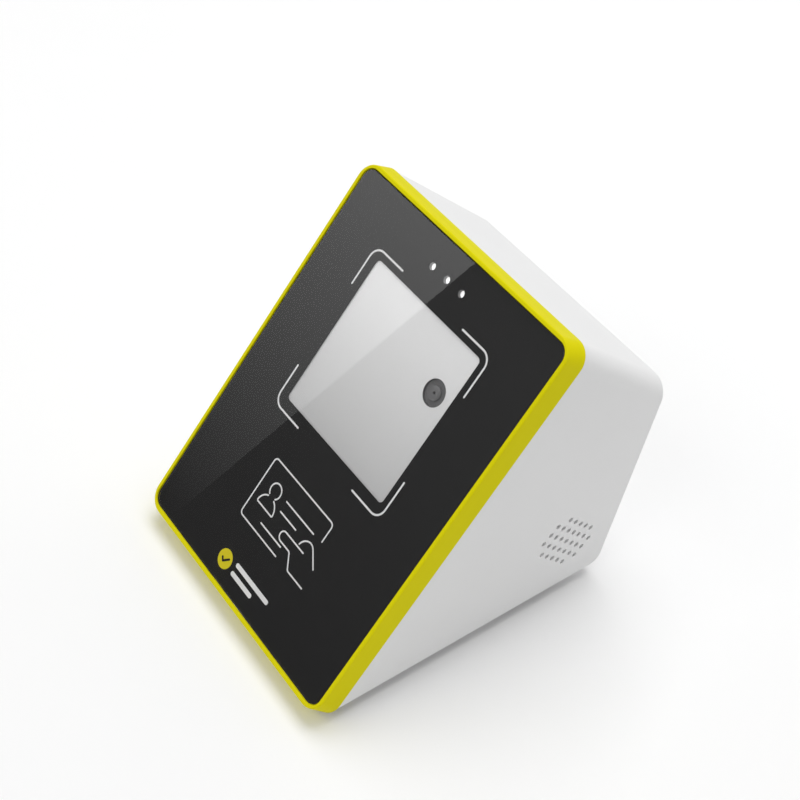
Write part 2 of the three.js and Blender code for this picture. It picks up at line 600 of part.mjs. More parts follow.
function addBase() {
  const { thickness } = cover;
  const headDepth = screw.headHeight + pilot;
  const below = baseZ - beyond; // where the tools that cut the underside start
  const sheet = slab(coverOutline(0), baseZ, thickness);
  const postLength = ports.rise - thickness - seat;
  const posts = [...portPosts, ...portRests].map(([x, y]) =>
    rod(ports.post, postLength + root, x, y, baseZ + thickness - root, 16));
  const holes = coverScrews.flatMap(([x, y]) => [
    rod(screw.radius + screw.clearance, 2 * beyond, x, y, below, 16),
    rod(screw.head + screw.clearance, headDepth + beyond, x, y, below, 16),
  ]);
  const recesses = footPlaces.map(([x, y]) =>
    rod(foot.radius + fit, foot.recess + beyond, x, y, below, 24));
  const vents = Array.from({ length: vent.count }, (_, index) => {
    const y = coverPlace[1] - vent.forward + (index - (vent.count - 1) / 2) * vent.pitch;
    return slab(roundedRect(vent.length, vent.width, vent.width / 2, 0, y), below, 2 * beyond, 3);
  });
  const pilots = portPosts.map(([x, y]) =>
    rod(screw.radius + pilot, beyond, x, y, baseZ + thickness + 2 * root, 16));
  const base = cut(join(sheet, ...posts), ...holes, ...recesses, ...vents, ...pilots);
  add(assembly, "base_cover", base, look.black);

  coverScrews.forEach(([x, y], index) => {
    const length = boss.height - 2 * root;
    const mesh = add(assembly, `cover_screw_${index + 1}`, panScrew(length), look.steel);
    mesh.rotation.x = 2 * quarter;
    mesh.position.set(x, y, baseZ + headDepth);
  });
  const { radius, height, recess, edge } = foot;
  const top = height + recess - seat;
  footPlaces.forEach(([x, y], index) => {
    const pad = turned([[0, 0], [radius - edge, 0], [radius, edge], [radius, top], [0, top]]);
    add(assembly, `rubber_foot_${index + 1}`, pad.translate(x, y, 0), look.rubber);
  });
}

// The port board behind the back wall, with its sockets, reset switch and card holder
function addPorts() {
  const { low, high, width, thickness } = ports;
  const shape = roundedRect(width, high - low, 1.5, 0, (low + high) / 2);
  const holes = portPosts.map(([x, y]) =>
    rod(screw.radius + screw.clearance, beyond, x, y, portBoardZ - beyond / 2, 16));
  add(assembly, "port_board", cut(slab(shape, portBoardZ, thickness, 3), ...holes), look.board);
  portPosts.forEach(([x, y], index) => {
    const mesh = add(assembly, `port_screw_${index + 1}`, panScrew(screw.length - 1), look.steel);
    mesh.position.set(x, y, portTop + seat);
  });
  addEthernet();
  addPower();
  addReset();
  addCardHolder();
}

const socketFloor = portTop + seat;
const socketFace = backAt(socketFloor) - fit; // level with the wall's outer face, at the sockets' bottom
const alongY = (geometry, x, y, z) => geometry.rotateX(quarter).translate(x, y, z); // a rod ends at y
const socketBlock = ({ x, width, height, length }) =>
  block(width, length, height, x, socketFace - length / 2, socketFloor);

function addEthernet() {
  const { x, wall, cavity, mouth, latch } = ethernet;
  const hollow = (width, height, low) =>
    block(width, cavity + beyond, height, x, socketFace + (beyond - cavity) / 2, socketFloor + low);
  const key = hollow(latch.width, latch.height + 1, wall);
  const opening = hollow(mouth.width, mouth.height, wall + latch.height);
  add(assembly, "ethernet_jack", cut(socketBlock(ethernet), key, opening), look.steel);
}

function addPower() {
  const { x, height, bore, contact, cavity } = power;
  const axis = socketFloor + height / 2;
  const hole = alongY(rod(bore, cavity + 1, 0, 0, 0, 24), x, socketFace + 1, axis);
  const post = alongY(rod(contact, cavity, 0, 0, 0, 12), x, socketFace - 1, axis);
  add(assembly, "power_jack", join(cut(socketBlock(power), hole), post), look.plastic);
}

function addReset() {
  const { x, radius, travel, stem, bore, width, height, flange, flangeThickness, recess, edge } = reset;
  const axis = socketFloor + height / 2;
  const face = backAt(axis) - recess;
  const flangeFront = backAt(axis - flange, housing.wall) - fit;
  const flangeBack = flangeFront - flangeThickness;
  const switchFront = flangeBack - travel - fit;
  const hole = alongY(rod(stem + fit, bore + 1, 0, 0, 0, 16), x, switchFront + 1, axis);
  const shell = block(width, width, height, x, switchFront - width / 2, socketFloor);
  add(assembly, "reset_switch", cut(shell, hole), look.plastic);
  const tip = switchFront - bore + travel + fit;
  const button = turned([
    [0, tip], [stem, tip], [stem, flangeBack], [flange, flangeBack], [flange, flangeFront],
    [radius, flangeFront], [radius, face - edge], [radius - edge, face], [0, face],
  ], 24);
  add(assembly, "reset_button", button.rotateX(-quarter).translate(x, 0, axis), look.darkGrey);
}

// A tray for the security card, with a lid that swings up on a pivot at its back edge
function addCardHolder() {
  const { width, length, height, x, front, card, lid, pivot, play, cheek, cheekLength, rise, rim } = sam;
  const middle = front + length / 2;
  const back = front + length;
  const cardLow = socketFloor + height - card - seat;
  const pivotZ = socketFloor + rise;
  const sideways = (radius, reach) =>
    rod(radius, reach, 0, 0, -reach / 2, 12).rotateY(quarter).translate(x, back, pivotZ);
  const cheeks = [-1, 1].map((side) =>
    block(cheek, cheekLength, rise + 2 * pivot, x + side * (width - cheek) / 2, back, socketFloor));
  const slotWidth = width - 2 * (cheek + rim);
  const tray = cut(
    join(block(width, length, height, x, middle, socketFloor), ...cheeks),
    block(slotWidth, length, height, x, middle - cheekLength / 2, cardLow - seat),
    sideways(pivot + play, width + 2),
  );
  add(assembly, "sam_socket", tray, look.plastic);
  const cardShape = roundedRect(slotWidth - 2 * fit, length - cheekLength / 2 - fit, 1, x,
    middle - cheekLength / 4 - fit / 2);
  add(assembly, "sam_card", slab(cardShape, cardLow, card, 2), look.gold);
  const lidWidth = width - 2 * (cheek + fit);
  const sheet = cut(
    block(lidWidth, length, lid, x, middle, pivotZ - lid / 2),
    block(lidWidth / 1.5, length / 2, rise, x, middle - rim / 2, pivotZ - lid),
  );
  add(assembly, "sam_lid", join(sheet, sideways(pivot, width)), look.steel);
}

// The loudspeaker behind the grille
function addSpeaker() {
  const { radius, depth, mesh, ring, ringDepth, base, magnet, magnetDepth, coil, coilWall, coilDepth,
    surround, sheet } = speaker;
  add(speakerMount, "grille_mesh", rod(radius - 1, mesh, 0, 0, -seat - mesh, 32), look.paper);
  const front = -mesh - 2 * seat;
  const back = front - depth;
  const basket = turned([
    [radius - ring, front], [radius - ring, front - ringDepth], [magnet - 1, back], [coil + 1, back],
    [coil + 1, back - base], [magnet + 1, back - base], [magnet + 1, back], [radius, front - ringDepth],
    [radius, front], [radius - ring, front],
  ]);
  add(speakerMount, "speaker_frame", basket, look.steel);
  const edge = radius - ring - fit;
  const rimFront = front - 2 * speaker.travel;
  const neck = back + 1;
  const coilEnd = back - coilDepth;
  const outer = coil + coilWall;
  const cone = turned([
    [0, neck], [coil, neck - 0.6], [coil, coilEnd], [outer, coilEnd], [outer, neck - 0.6],
    [edge - surround, rimFront - sheet], [edge, rimFront - sheet], [edge, rimFront],
    [edge - surround, rimFront], [outer, neck], [coil, neck + sheet], [0, neck + 1],
  ]);
  add(speakerMount, "speaker_cone", cone, look.paper);
  const face = back - base - seat;
  const gap = coilEnd - 1;
  const yoke = turned([
    [0, face - magnetDepth], [magnet, face - magnetDepth], [magnet, face], [outer + fit, face],
    [outer + fit, gap], [coil - fit, gap], [coil - fit, face], [0, face],
  ]);
  add(speakerMount, "speaker_magnet", yoke, look.steel);
}

addGlass();
addBezel();
addCarrier();
addWindow();
addCamera();
addLamps();
addAntenna();
addMainBoard();
placeSpeaker();
addHousing();
addBase();
addPorts();
addSpeaker();

// Centre the object over the origin.
const bounds = new THREE.Box3().setFromObject(assembly, true);
assembly.position.y = -(bounds.min.y + bounds.max.y) / 2;

export default validator;
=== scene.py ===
from math import ceil, cos, pi, radians, sin, tan

import bmesh
import bpy
from mathutils import Matrix, Vector


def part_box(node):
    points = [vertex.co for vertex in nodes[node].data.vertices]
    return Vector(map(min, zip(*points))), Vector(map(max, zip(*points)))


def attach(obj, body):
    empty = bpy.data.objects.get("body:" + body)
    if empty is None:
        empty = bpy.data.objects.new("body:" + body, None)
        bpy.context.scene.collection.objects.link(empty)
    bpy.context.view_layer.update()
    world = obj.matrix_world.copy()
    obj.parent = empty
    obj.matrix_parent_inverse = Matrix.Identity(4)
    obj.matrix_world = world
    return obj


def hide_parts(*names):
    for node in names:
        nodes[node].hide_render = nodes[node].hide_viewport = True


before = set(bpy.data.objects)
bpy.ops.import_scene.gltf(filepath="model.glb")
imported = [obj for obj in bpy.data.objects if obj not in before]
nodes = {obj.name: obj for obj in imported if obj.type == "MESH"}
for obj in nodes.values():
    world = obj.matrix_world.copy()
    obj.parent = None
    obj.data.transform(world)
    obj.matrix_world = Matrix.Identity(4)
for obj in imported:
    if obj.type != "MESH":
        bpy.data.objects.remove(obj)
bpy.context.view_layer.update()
print("frame loaded:", len(nodes), "nodes")

# The shape's values are in millimetres, angles in degrees
millimetre = 0.001
tilt = radians(52.5)  # panel above the ground
draft = radians(3.5)  # how the housing's walls draw in
lean = radians(10.5)  # the back wall beyond vertical
glass = {"width": 105, "height": 140, "thickness": 1.5, "corner": 4.2, "edge": 0.25}

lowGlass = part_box("front_glass")[0]
panelRise = lowGlass.z + glass["thickness"] * millimetre * cos(tilt)
# Panel: x across, y up from the glass's bottom edge, z out of its face. Standing: y from there, z up.
panelTurn = Matrix.Rotation(tilt, 4, "X")
panel = Matrix.Translation((0, lowGlass.y, panelRise)) @ panelTurn @ Matrix.Scale(millimetre, 4)
standing = Matrix.Translation((0, lowGlass.y, 0)) @ Matrix.Scale(millimetre, 4)


def standingBox(node):
    low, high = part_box(node)
    back = standing.inverted()
    return back @ low, back @ high


def middleOf(low, high):  # seen from above
    return (low.x + high.x) / 2, (low.y + high.y) / 2


def vertsOf(made):
    return [part for part in made if isinstance(part, bmesh.types.BMVert)]


def edgesOf(made):
    return [part for part in made if isinstance(part, bmesh.types.BMEdge)]


# Shapes

def bevelled(bm, geom, affect, offset, steps, clamp=False):
    bmesh.ops.bevel(bm, geom=geom, affect=affect, offset=offset, offset_type="OFFSET", segments=steps,
                    profile=0.5, material=-1, clamp_overlap=clamp)


def asMesh(name, bm):
    mesh = bpy.data.meshes.new(name)
    bm.to_mesh(mesh)
    bm.free()
    return mesh


def addObject(name, data):
    thing = bpy.data.objects.new(name, data)
    bpy.context.scene.collection.objects.link(thing)
    return thing


def flatRect(width, height, corner=0, centre=(0, 0), steps=8):
    bm = bmesh.new()
    bmesh.ops.create_grid(bm, x_segments=1, y_segments=1, size=0.5)
    bmesh.ops.scale(bm, vec=(width, height, 1), verts=bm.verts)
    if corner:
        bevelled(bm, bm.verts[:], "VERTICES", corner, steps)
    bmesh.ops.translate(bm, vec=(*centre, 0), verts=bm.verts)
    return bm


def thicken(bm, low, high):
    bmesh.ops.translate(bm, vec=(0, 0, low), verts=bm.verts)
    top = vertsOf(bmesh.ops.extrude_face_region(bm, geom=bm.faces[:])["geom"])
    bmesh.ops.translate(bm, vec=(0, 0, high - low), verts=top)
    bmesh.ops.recalc_face_normals(bm, faces=bm.faces)
    return bm


def roundLevel(bm, level, radius, steps=3):  # rounds the edges that lie at one height
    rim = [edge for edge in bm.edges if all(abs(vert.co.z - level) < 1e-4 for vert in edge.verts)]
    bevelled(bm, rim, "EDGES", radius, steps)
    return bm


def slab(width, height, corner, centre, low, high, steps=8, edge=0, edgeSteps=2):
    bm = thicken(flatRect(width, height, corner, centre, steps), low, high)
    if edge:
        roundLevel(bm, high, edge, edgeSteps)
        roundLevel(bm, low, edge, edgeSteps)
    return bm


def turned(profile, steps=32):  # profile: (radius, height) points, turned round the z axis
    bm = bmesh.new()
    verts = [bm.verts.new((radius, 0, height)) for radius, height in profile]
    edges = [bm.edges.new(pair) for pair in zip(verts, verts[1:])]
    bmesh.ops.spin(bm, geom=verts + edges, cent=(0, 0, 0), axis=(0, 0, 1), angle=2 * pi,
                   steps=steps, use_merge=True)
    bmesh.ops.remove_doubles(bm, verts=bm.verts, dist=1e-4)
    bmesh.ops.recalc_face_normals(bm, faces=bm.faces)
    return bm


def rod(radius, low, high, at=(0, 0), steps=32, edge=0):
    profile = [(0, low), (radius, low), (radius, high), (0, high)]
    if edge:
        profile[1:3] = [(radius - edge, low), (radius, low + edge), (radius, high - edge), (radius - edge, high)]
    return moved(turned(profile, steps), (*at, 0))


def moved(bm, by):
    bmesh.ops.translate(bm, vec=by, verts=bm.verts)
    return bm


def placed(bm, matrix):
    bmesh.ops.transform(bm, matrix=matrix, verts=bm.verts)
    return bm


def gather(shapes):
    whole = bmesh.new()
    for bm in shapes:
        mesh = asMesh("part", bm)
        whole.from_mesh(mesh)
        bpy.data.meshes.remove(mesh)
    return whole


def carve(bm, cutters, joined=()):
    base = addObject("carving", asMesh("carving", bm))
    things = [base]
    steps = [(shape, "UNION") for shape in joined] + [(shape, "DIFFERENCE") for shape in cutters]
    for shape, operation in steps:
        things.append(addObject("carving", asMesh("carving", shape)))
        step = base.modifiers.new("carve", "BOOLEAN")
        step.operation, step.solver, step.object = operation, "EXACT", things[-1]
    result = bmesh.new()
    result.from_mesh(base.evaluated_get(bpy.context.evaluated_depsgraph_get()).to_mesh())
    for thing in things:
        mesh = thing.data
        bpy.data.objects.remove(thing)
        bpy.data.meshes.remove(mesh)
    bmesh.ops.dissolve_degenerate(result, dist=1e-4, edges=result.edges)
    return result


# A line of one width drawn like a pen: numbers go straight on, (radius, angle) pairs turn.
def penLine(start, heading, moves, width, roundEnds=True):
    bm = bmesh.new()
    at, way = Vector((*start, 0)), radians(heading)
    left = Vector((-sin(way), cos(way), 0))
    ends = [bm.verts.new(at - left * width / 2), bm.verts.new(at + left * width / 2)]
    edge = bm.edges.new(ends)
    for move in moves:
        if isinstance(move, tuple):
            radius, angle = move
            side = 1 if angle > 0 else -1
            centre = at + left * radius * side
            made = bmesh.ops.spin(bm, geom=ends + [edge], cent=centre, axis=(0, 0, side),
                                  angle=radians(abs(angle)), steps=max(2, ceil(abs(angle) / 12)),
                                  use_merge=False)["geom_last"]
            at = centre + Matrix.Rotation(radians(angle), 3, "Z") @ (at - centre)
            way += radians(angle)
            left = Vector((-sin(way), cos(way), 0))
        else:
            made = bmesh.ops.extrude_edge_only(bm, edges=[edge])["geom"]
            step = Vector((cos(way), sin(way), 0)) * move
            bmesh.ops.translate(bm, vec=step, verts=vertsOf(made))
            at = at + step
        ends = vertsOf(made)
        edge = next(one for one in edgesOf(made) if all(vert in ends for vert in one.verts))
    if roundEnds:
        corners = [vert for vert in bm.verts if len(vert.link_edges) == 2]
        bevelled(bm, corners, "VERTICES", width * 0.48, 4)
    return bm


def makePiece(name, bm, place, material, replaced=(), body="body", sharp=38, soften=0, softSteps=2):
    mesh = asMesh(name, placed(bm, place))
    mesh.shade_smooth()
    mesh.set_sharp_from_angle(angle=radians(sharp))
    mesh.materials.append(material)
    piece = addObject(name, mesh)
    if soften:
        edge = piece.modifiers.new("softEdges", "BEVEL")
        edge.width, edge.segments, edge.limit_method = soften * millimetre, softSteps, "ANGLE"
        edge.angle_limit, edge.harden_normals, edge.miter_outer = radians(sharp), True, "MITER_ARC"
    weighted = piece.modifiers.new("evenShading", "WEIGHTED_NORMAL")
    weighted.keep_sharp = True
    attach(piece, body)
    if replaced:
        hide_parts(*replaced)
    return piece


# Effects that several materials share

def newGroup(name, inputs, outputs):
    group = bpy.data.node_groups.new(name, "ShaderNodeTree")
    for label, kind, value in inputs:
        made = group.interface.new_socket(label, in_out="INPUT", socket_type=kind)
        if value is not None:
            made.default_value = value
    for label, kind in outputs:
        group.interface.new_socket(label, in_out="OUTPUT", socket_type=kind)
    start, end = group.nodes.new("NodeGroupInput"), group.nodes.new("NodeGroupOutput")
    start.location, end.location = (-900, 0), (500, 0)
    return group, start, end


def calc(tree, operation, first, second=0.0, third=None):
    node = tree.nodes.new("ShaderNodeMath")
    node.operation = operation
    for index, value in enumerate((first, second, third)):
        if value is None:
            continue
        if isinstance(value, bpy.types.NodeSocket):
            tree.links.new(value, node.inputs[index])
        else:
            node.inputs[index].default_value = value
    return node.outputs[0]


def noiseAt(tree, vector, scale, detail=2.0, roughness=0.5):
    node = tree.nodes.new("ShaderNodeTexNoise")
    node.inputs["Detail"].default_value = detail
    node.inputs["Roughness"].default_value = roughness
    tree.links.new(vector, node.inputs["Vector"])
    if isinstance(scale, bpy.types.NodeSocket):
        tree.links.new(scale, node.inputs["Scale"])
    else:
        node.inputs["Scale"].default_value = scale
    return node.outputs["Fac"]


# Spark-eroded mould texture with faint flow marks. Scale counts grains in a metre.
def makeMouldGrain():
    group, start, end = newGroup("mouldGrain",
        [("Vector", "NodeSocketVector", None), ("Scale", "NodeSocketFloat", 2200.0)],
        [("Height", "NodeSocketFloat"), ("Tone", "NodeSocketFloat"), ("Handling", "NodeSocketFloat")])
    vector = start.outputs["Vector"]
    fine = noiseAt(group, vector, start.outputs["Scale"], 3, 0.6)
    coarse = noiseAt(group, vector, calc(group, "MULTIPLY", start.outputs["Scale"], 0.32), 1, 0.4)
    height = calc(group, "MULTIPLY_ADD", fine, 0.65, calc(group, "MULTIPLY", coarse, 0.35))
    flow = noiseAt(group, vector, 32, 3, 0.55)
    touch = noiseAt(group, vector, 75, 4, 0.62)
    group.links.new(height, end.inputs["Height"])
    group.links.new(flow, end.inputs["Tone"])
    group.links.new(touch, end.inputs["Handling"])
    return group


# Long scratches of rolled or machined metal, along x
def makeBrushedLines():
    group, start, end = newGroup("brushedLines", [("Vector", "NodeSocketVector", None)],
                                 [("Height", "NodeSocketFloat"), ("Tone", "NodeSocketFloat")])
    stretch = group.nodes.new("ShaderNodeMapping")
    stretch.inputs["Scale"].default_value = (90, 3200, 3200)
    group.links.new(start.outputs["Vector"], stretch.inputs["Vector"])
    lines = noiseAt(group, stretch.outputs["Vector"], 1, 4, 0.65)
    blotches = noiseAt(group, start.outputs["Vector"], 160, 3, 0.5)
    group.links.new(lines, end.inputs["Height"])
    group.links.new(calc(group, "MULTIPLY_ADD", lines, 0.6, calc(group, "MULTIPLY", blotches, 0.4)),
                    end.inputs["Tone"])
    return group


# Copper tracks under solder mask, with pads
def makeBoardTracks():
    group, start, end = newGroup("boardTracks",
        [("Vector", "NodeSocketVector", None), ("Pitch", "NodeSocketFloat", 420.0)],
        [("Tracks", "NodeSocketFloat"), ("Pads", "NodeSocketFloat")])
    bricks = group.nodes.new("ShaderNodeTexBrick")
    bricks.inputs["Mortar Size"].default_value = 0.09
    bricks.inputs["Brick Width"].default_value = 1.7
    bricks.inputs["Row Height"].default_value = 0.45
    bricks.inputs["Mortar Smooth"].default_value = 0.2
    group.links.new(start.outputs["Vector"], bricks.inputs["Vector"])
    group.links.new(start.outputs["Pitch"], bricks.inputs["Scale"])
    cells = group.nodes.new("ShaderNodeTexVoronoi")
    cells.inputs["Randomness"].default_value = 0.55
    group.links.new(start.outputs["Vector"], cells.inputs["Vector"])
    group.links.new(start.outputs["Pitch"], cells.inputs["Scale"])
    group.links.new(bricks.outputs["Fac"], end.inputs["Tracks"])
    group.links.new(calc(group, "LESS_THAN", cells.outputs["Distance"], 0.16), end.inputs["Pads"])
    return group


mouldGrain, brushedLines, boardTracks = makeMouldGrain(), makeBrushedLines(), makeBoardTracks()


def newMaterial(name, roughness=0.5, metallic=0.0, specular=0.5, more=()):
    material = bpy.data.materials.new(name)
    material.use_nodes = True
    shader = material.node_tree.nodes["Principled BSDF"]
    shader.inputs["Roughness"].default_value = roughness
    shader.inputs["Metallic"].default_value = metallic
    shader.inputs["Specular IOR Level"].default_value = specular
    for label, value in more:
        shader.inputs[label].default_value = value
    return material, material.node_tree, shader


def objectPoint(tree):
    node = tree.nodes.new("ShaderNodeTexCoord")
    return node.outputs["Object"]


def useGroup(tree, group, vector, **values):
    node = tree.nodes.new("ShaderNodeGroup")
    node.node_tree = group
    tree.links.new(vector, node.inputs["Vector"])
    for label, value in values.items():
        node.inputs[label].default_value = value
    return node


def blendColours(tree, factor, first, second):
    node = tree.nodes.new("ShaderNodeMix")
    node.data_type = "RGBA"
    tree.links.new(factor, node.inputs["Factor"])
    for socket, colour in ((node.inputs[6], first), (node.inputs[7], second)):
        if isinstance(colour, bpy.types.NodeSocket):
            tree.links.new(colour, socket)
        else:
            socket.default_value = (*colour, 1)
    return node.outputs[2]


def spread(tree, value, low, high):
    node = tree.nodes.new("ShaderNodeMapRange")
    node.inputs["From Min"].default_value, node.inputs["From Max"].default_value = 0.3, 0.7
    node.inputs["To Min"].default_value, node.inputs["To Max"].default_value = low, high
    tree.links.new(value, node.inputs["Value"])
    return node.outputs["Result"]


def addBump(tree, shader, height, distance):
    bump = tree.nodes.new("ShaderNodeBump")
    bump.inputs["Distance"].default_value = distance * millimetre
    tree.links.new(height, bump.inputs["Height"])
    tree.links.new(bump.outputs["Normal"], shader.inputs["Normal"])


def shade(colour, amount):
    return tuple(min(1.0, part * amount) for part in colour)


def moulded(name, colour, roughness, specular=0.5, grain=2200.0, relief=0.012, tone=0.03, patchy=0.05, more=()):
    material, tree, shader = newMaterial(name, roughness, 0, specular, more)
    surface = useGroup(tree, mouldGrain, objectPoint(tree), Scale=grain)
    base = blendColours(tree, surface.outputs["Tone"], shade(colour, 1 - tone), shade(colour, 1 + tone))
    tree.links.new(base, shader.inputs["Base Color"])
    rough = spread(tree, surface.outputs["Handling"], roughness - patchy, roughness + patchy)
    tree.links.new(rough, shader.inputs["Roughness"])
    addBump(tree, shader, surface.outputs["Height"], relief)
    return material


def metalFinish(name, colour, roughness, relief=0.004):
    material, tree, shader = newMaterial(name, roughness, 1.0)
    surface = useGroup(tree, brushedLines, objectPoint(tree))
    base = blendColours(tree, surface.outputs["Tone"], shade(colour, 0.85), shade(colour, 1.08))
    tree.links.new(base, shader.inputs["Base Color"])
    tree.links.new(spread(tree, surface.outputs["Tone"], roughness - 0.08, roughness + 0.1), shader.inputs["Roughness"])
    addBump(tree, shader, surface.outputs["Height"], relief)
    return material


def boardFinish(name, mask, track, pad, pitch=420.0):
    material, tree, shader = newMaterial(name, 0.38)
    point = objectPoint(tree)
    layout = useGroup(tree, boardTracks, point, Pitch=pitch)
    tracked = blendColours(tree, layout.outputs["Tracks"], mask, track)
    tree.links.new(blendColours(tree, layout.outputs["Pads"], tracked, pad), shader.inputs["Base Color"])
    surface = useGroup(tree, mouldGrain, point, Scale=1500.0)
    tree.links.new(spread(tree, surface.outputs["Handling"], 0.3, 0.46), shader.inputs["Roughness"])
    addBump(tree, shader, layout.outputs["Tracks"], 0.03)
    return material


def clearFinish(name, roughness, tint=(1, 1, 1), ior=1.5, smudge=0.015):
    material, tree, shader = newMaterial(name, roughness, 0, 0.5, [("Transmission Weight", 1.0), ("IOR", ior)])
    surface = useGroup(tree, mouldGrain, objectPoint(tree), Scale=900.0)
    cast = blendColours(tree, surface.outputs["Tone"], shade(tint, 0.985), tint)
    tree.links.new(cast, shader.inputs["Base Color"])
    if smudge:
        rough = spread(tree, surface.outputs["Handling"], roughness, roughness + smudge)
        tree.links.new(rough, shader.inputs["Roughness"])
    through = tree.nodes.new("ShaderNodeBsdfTransparent")
    through.inputs["Color"].default_value = (*shade(tint, 0.94), 1)
    path, mixed = tree.nodes.new("ShaderNodeLightPath"), tree.nodes.new("ShaderNodeMixShader")
    tree.links.new(path.outputs["Is Shadow Ray"], mixed.inputs["Fac"])
    tree.links.new(shader.outputs["BSDF"], mixed.inputs[1])
    tree.links.new(through.outputs["BSDF"], mixed.inputs[2])
    tree.links.new(mixed.outputs["Shader"], tree.nodes["Material Output"].inputs["Surface"])
    return material


# Point of the object in the panel's own directions, in metres
def panelPoint(tree):
    turn = tree.nodes.new("ShaderNodeMapping")
    turn.inputs["Rotation"].default_value = (-tilt, 0, 0)
    turn.inputs["Location"].default_value = -(panelTurn.inverted() @ Vector((0, lowGlass.y, panelRise)))
    tree.links.new(objectPoint(tree), turn.inputs["Vector"])
    split = tree.nodes.new("ShaderNodeSeparateXYZ")
    tree.links.new(turn.outputs["Vector"], split.inputs["Vector"])
    return split.outputs


window = {"size": 56, "corner": 1.7, "centre": (0.2, 91.1), "lens": (20.45, 100.95), "opening": 9.1,
          "diffuser": 60, "plateDrop": 49, "plateCorner": 2, "plateEdge": 0.15, "front": 1.8, "thickness": 2}


# Frosted plate with painted light: its colour is brightest at its upper left and darker towards the bottom and right,
# standing in for uneven light from the lamps behind it
def paintedBacklightFinish():
    values = {"bright": 0.82, "dim": 0.5, "across": 0.04, "rise": 0.96}
    material, tree, shader = newMaterial("frostedPaintedBacklight", 0.55, 0, 0.3)
    x, y, _ = panelPoint(tree)
    reach = window["size"] * millimetre
    low = (window["centre"][1] - window["size"] / 2) * millimetre
    rise = calc(tree, "DIVIDE", calc(tree, "SUBTRACT", y, low), reach)
    across = calc(tree, "DIVIDE", calc(tree, "ADD", x, reach / 2), reach)
    level = calc(tree, "ADD", calc(tree, "MULTIPLY", rise, values["rise"]),
                 calc(tree, "MULTIPLY", calc(tree, "SUBTRACT", 1.0, across), values["across"]))
    surface = useGroup(tree, mouldGrain, objectPoint(tree), Scale=3000.0)
    even = calc(tree, "MULTIPLY_ADD", surface.outputs["Tone"], 0.03, level)
    # painted light: the plate's colour blends from dim to bright across it
    tint = blendColours(tree, even, (values["dim"],) * 3, (values["bright"],) * 3)
    tree.links.new(tint, shader.inputs["Base Color"])
    tree.links.new(spread(tree, surface.outputs["Handling"], 0.5, 0.6), shader.inputs["Roughness"])
    addBump(tree, shader, surface.outputs["Height"], 0.01)
    return material


looks = {
    "glass": clearFinish("frontGlass", 0.0, smudge=0),
    "lensGlass": clearFinish("lensGlass", 0.0, (0.75, 0.8, 0.9), 1.6),
    "frosted": paintedBacklightFinish(),
    "yellow": moulded("yellowPlastic", (0.76, 0.69, 0.002), 0.5, 0.06, 2600, 0.006, 0.02),
    "housing": moulded("housingPlastic", (0.86, 0.86, 0.86), 0.5, 0.35, 2000, 0.012, 0.012),
    "black": moulded("blackPlastic", (0.02, 0.02, 0.021), 0.5, 0.4, 1700, 0.02, 0.15),
    "ink": moulded("blackInk", (0.0125, 0.0123, 0.0125), 0.7, 0.0, 3000, 0.0004, 0.04),
    "whiteInk": moulded("whiteInk", (0.9, 0.9, 0.9), 0.6, 0.1, 3000, 0.002, 0.02),
    "badge": moulded("badgeInk", (0.8, 0.68, 0.01), 0.6, 0.1, 3000, 0.002, 0.02),
    "white": moulded("brightWhite", (0.9, 0.9, 0.89), 0.45, 0.4, 2000, 0.01, 0.015),
    "lens": moulded("lensGrey", (0.11, 0.11, 0.112), 0.5, 0.25, 2400, 0.008, 0.08),
    "sleeve": moulded("sleeveGrey", (0.16, 0.16, 0.16), 0.5, 0.3, 2400, 0.008, 0.08),
    "lampFace": moulded("lampFace", (0.95, 0.95, 0.95), 0.4, 0.4, 2400, 0.004, 0.01,
                        more=[("Emission Color", (1, 1, 1, 1)), ("Emission Strength", 0.6)]),
    "darkGrey": moulded("darkGreyPlastic", (0.07, 0.07, 0.072), 0.45, 0.45, 1800, 0.015, 0.1),
    "rubber": moulded("footRubber", (0.035, 0.035, 0.036), 0.8, 0.25, 1100, 0.04, 0.15),
    "ferrite": moulded("ferriteSheet", (0.06, 0.055, 0.05), 0.75, 0.3, 900, 0.03, 0.2),
    "paper": moulded("speakerPaper", (0.05, 0.05, 0.048), 0.85, 0.2, 700, 0.06, 0.25),
    "tape": moulded("foamTape", (0.03, 0.03, 0.03), 0.9, 0.1, 1300, 0.05, 0.2),
    "card": moulded("cardGold", (0.75, 0.6, 0.25), 0.4, 0.5, 900, 0.01, 0.05),
    "led": moulded("ledResin", (0.85, 0.8, 0.45), 0.35, 0.5, 1500, 0.008, 0.05),
    "steel": metalFinish("screwSteel", (0.62, 0.62, 0.64), 0.32),
    "nickel": metalFinish("shieldMetal", (0.7, 0.7, 0.68), 0.28),
    "magnet": metalFinish("magnetSteel", (0.4, 0.4, 0.42), 0.45),
    "gold": metalFinish("contactGold", (0.9, 0.66, 0.25), 0.25, 0.001),
    "greenBoard": boardFinish("greenBoard", (0.01, 0.12, 0.04), (0.02, 0.2, 0.07), (0.75, 0.7, 0.55)),
    "blueBoard": boardFinish("blueBoard", (0.01, 0.05, 0.2), (0.02, 0.1, 0.32), (0.75, 0.6, 0.3), 300.0),
}
print("materials:", len(looks))


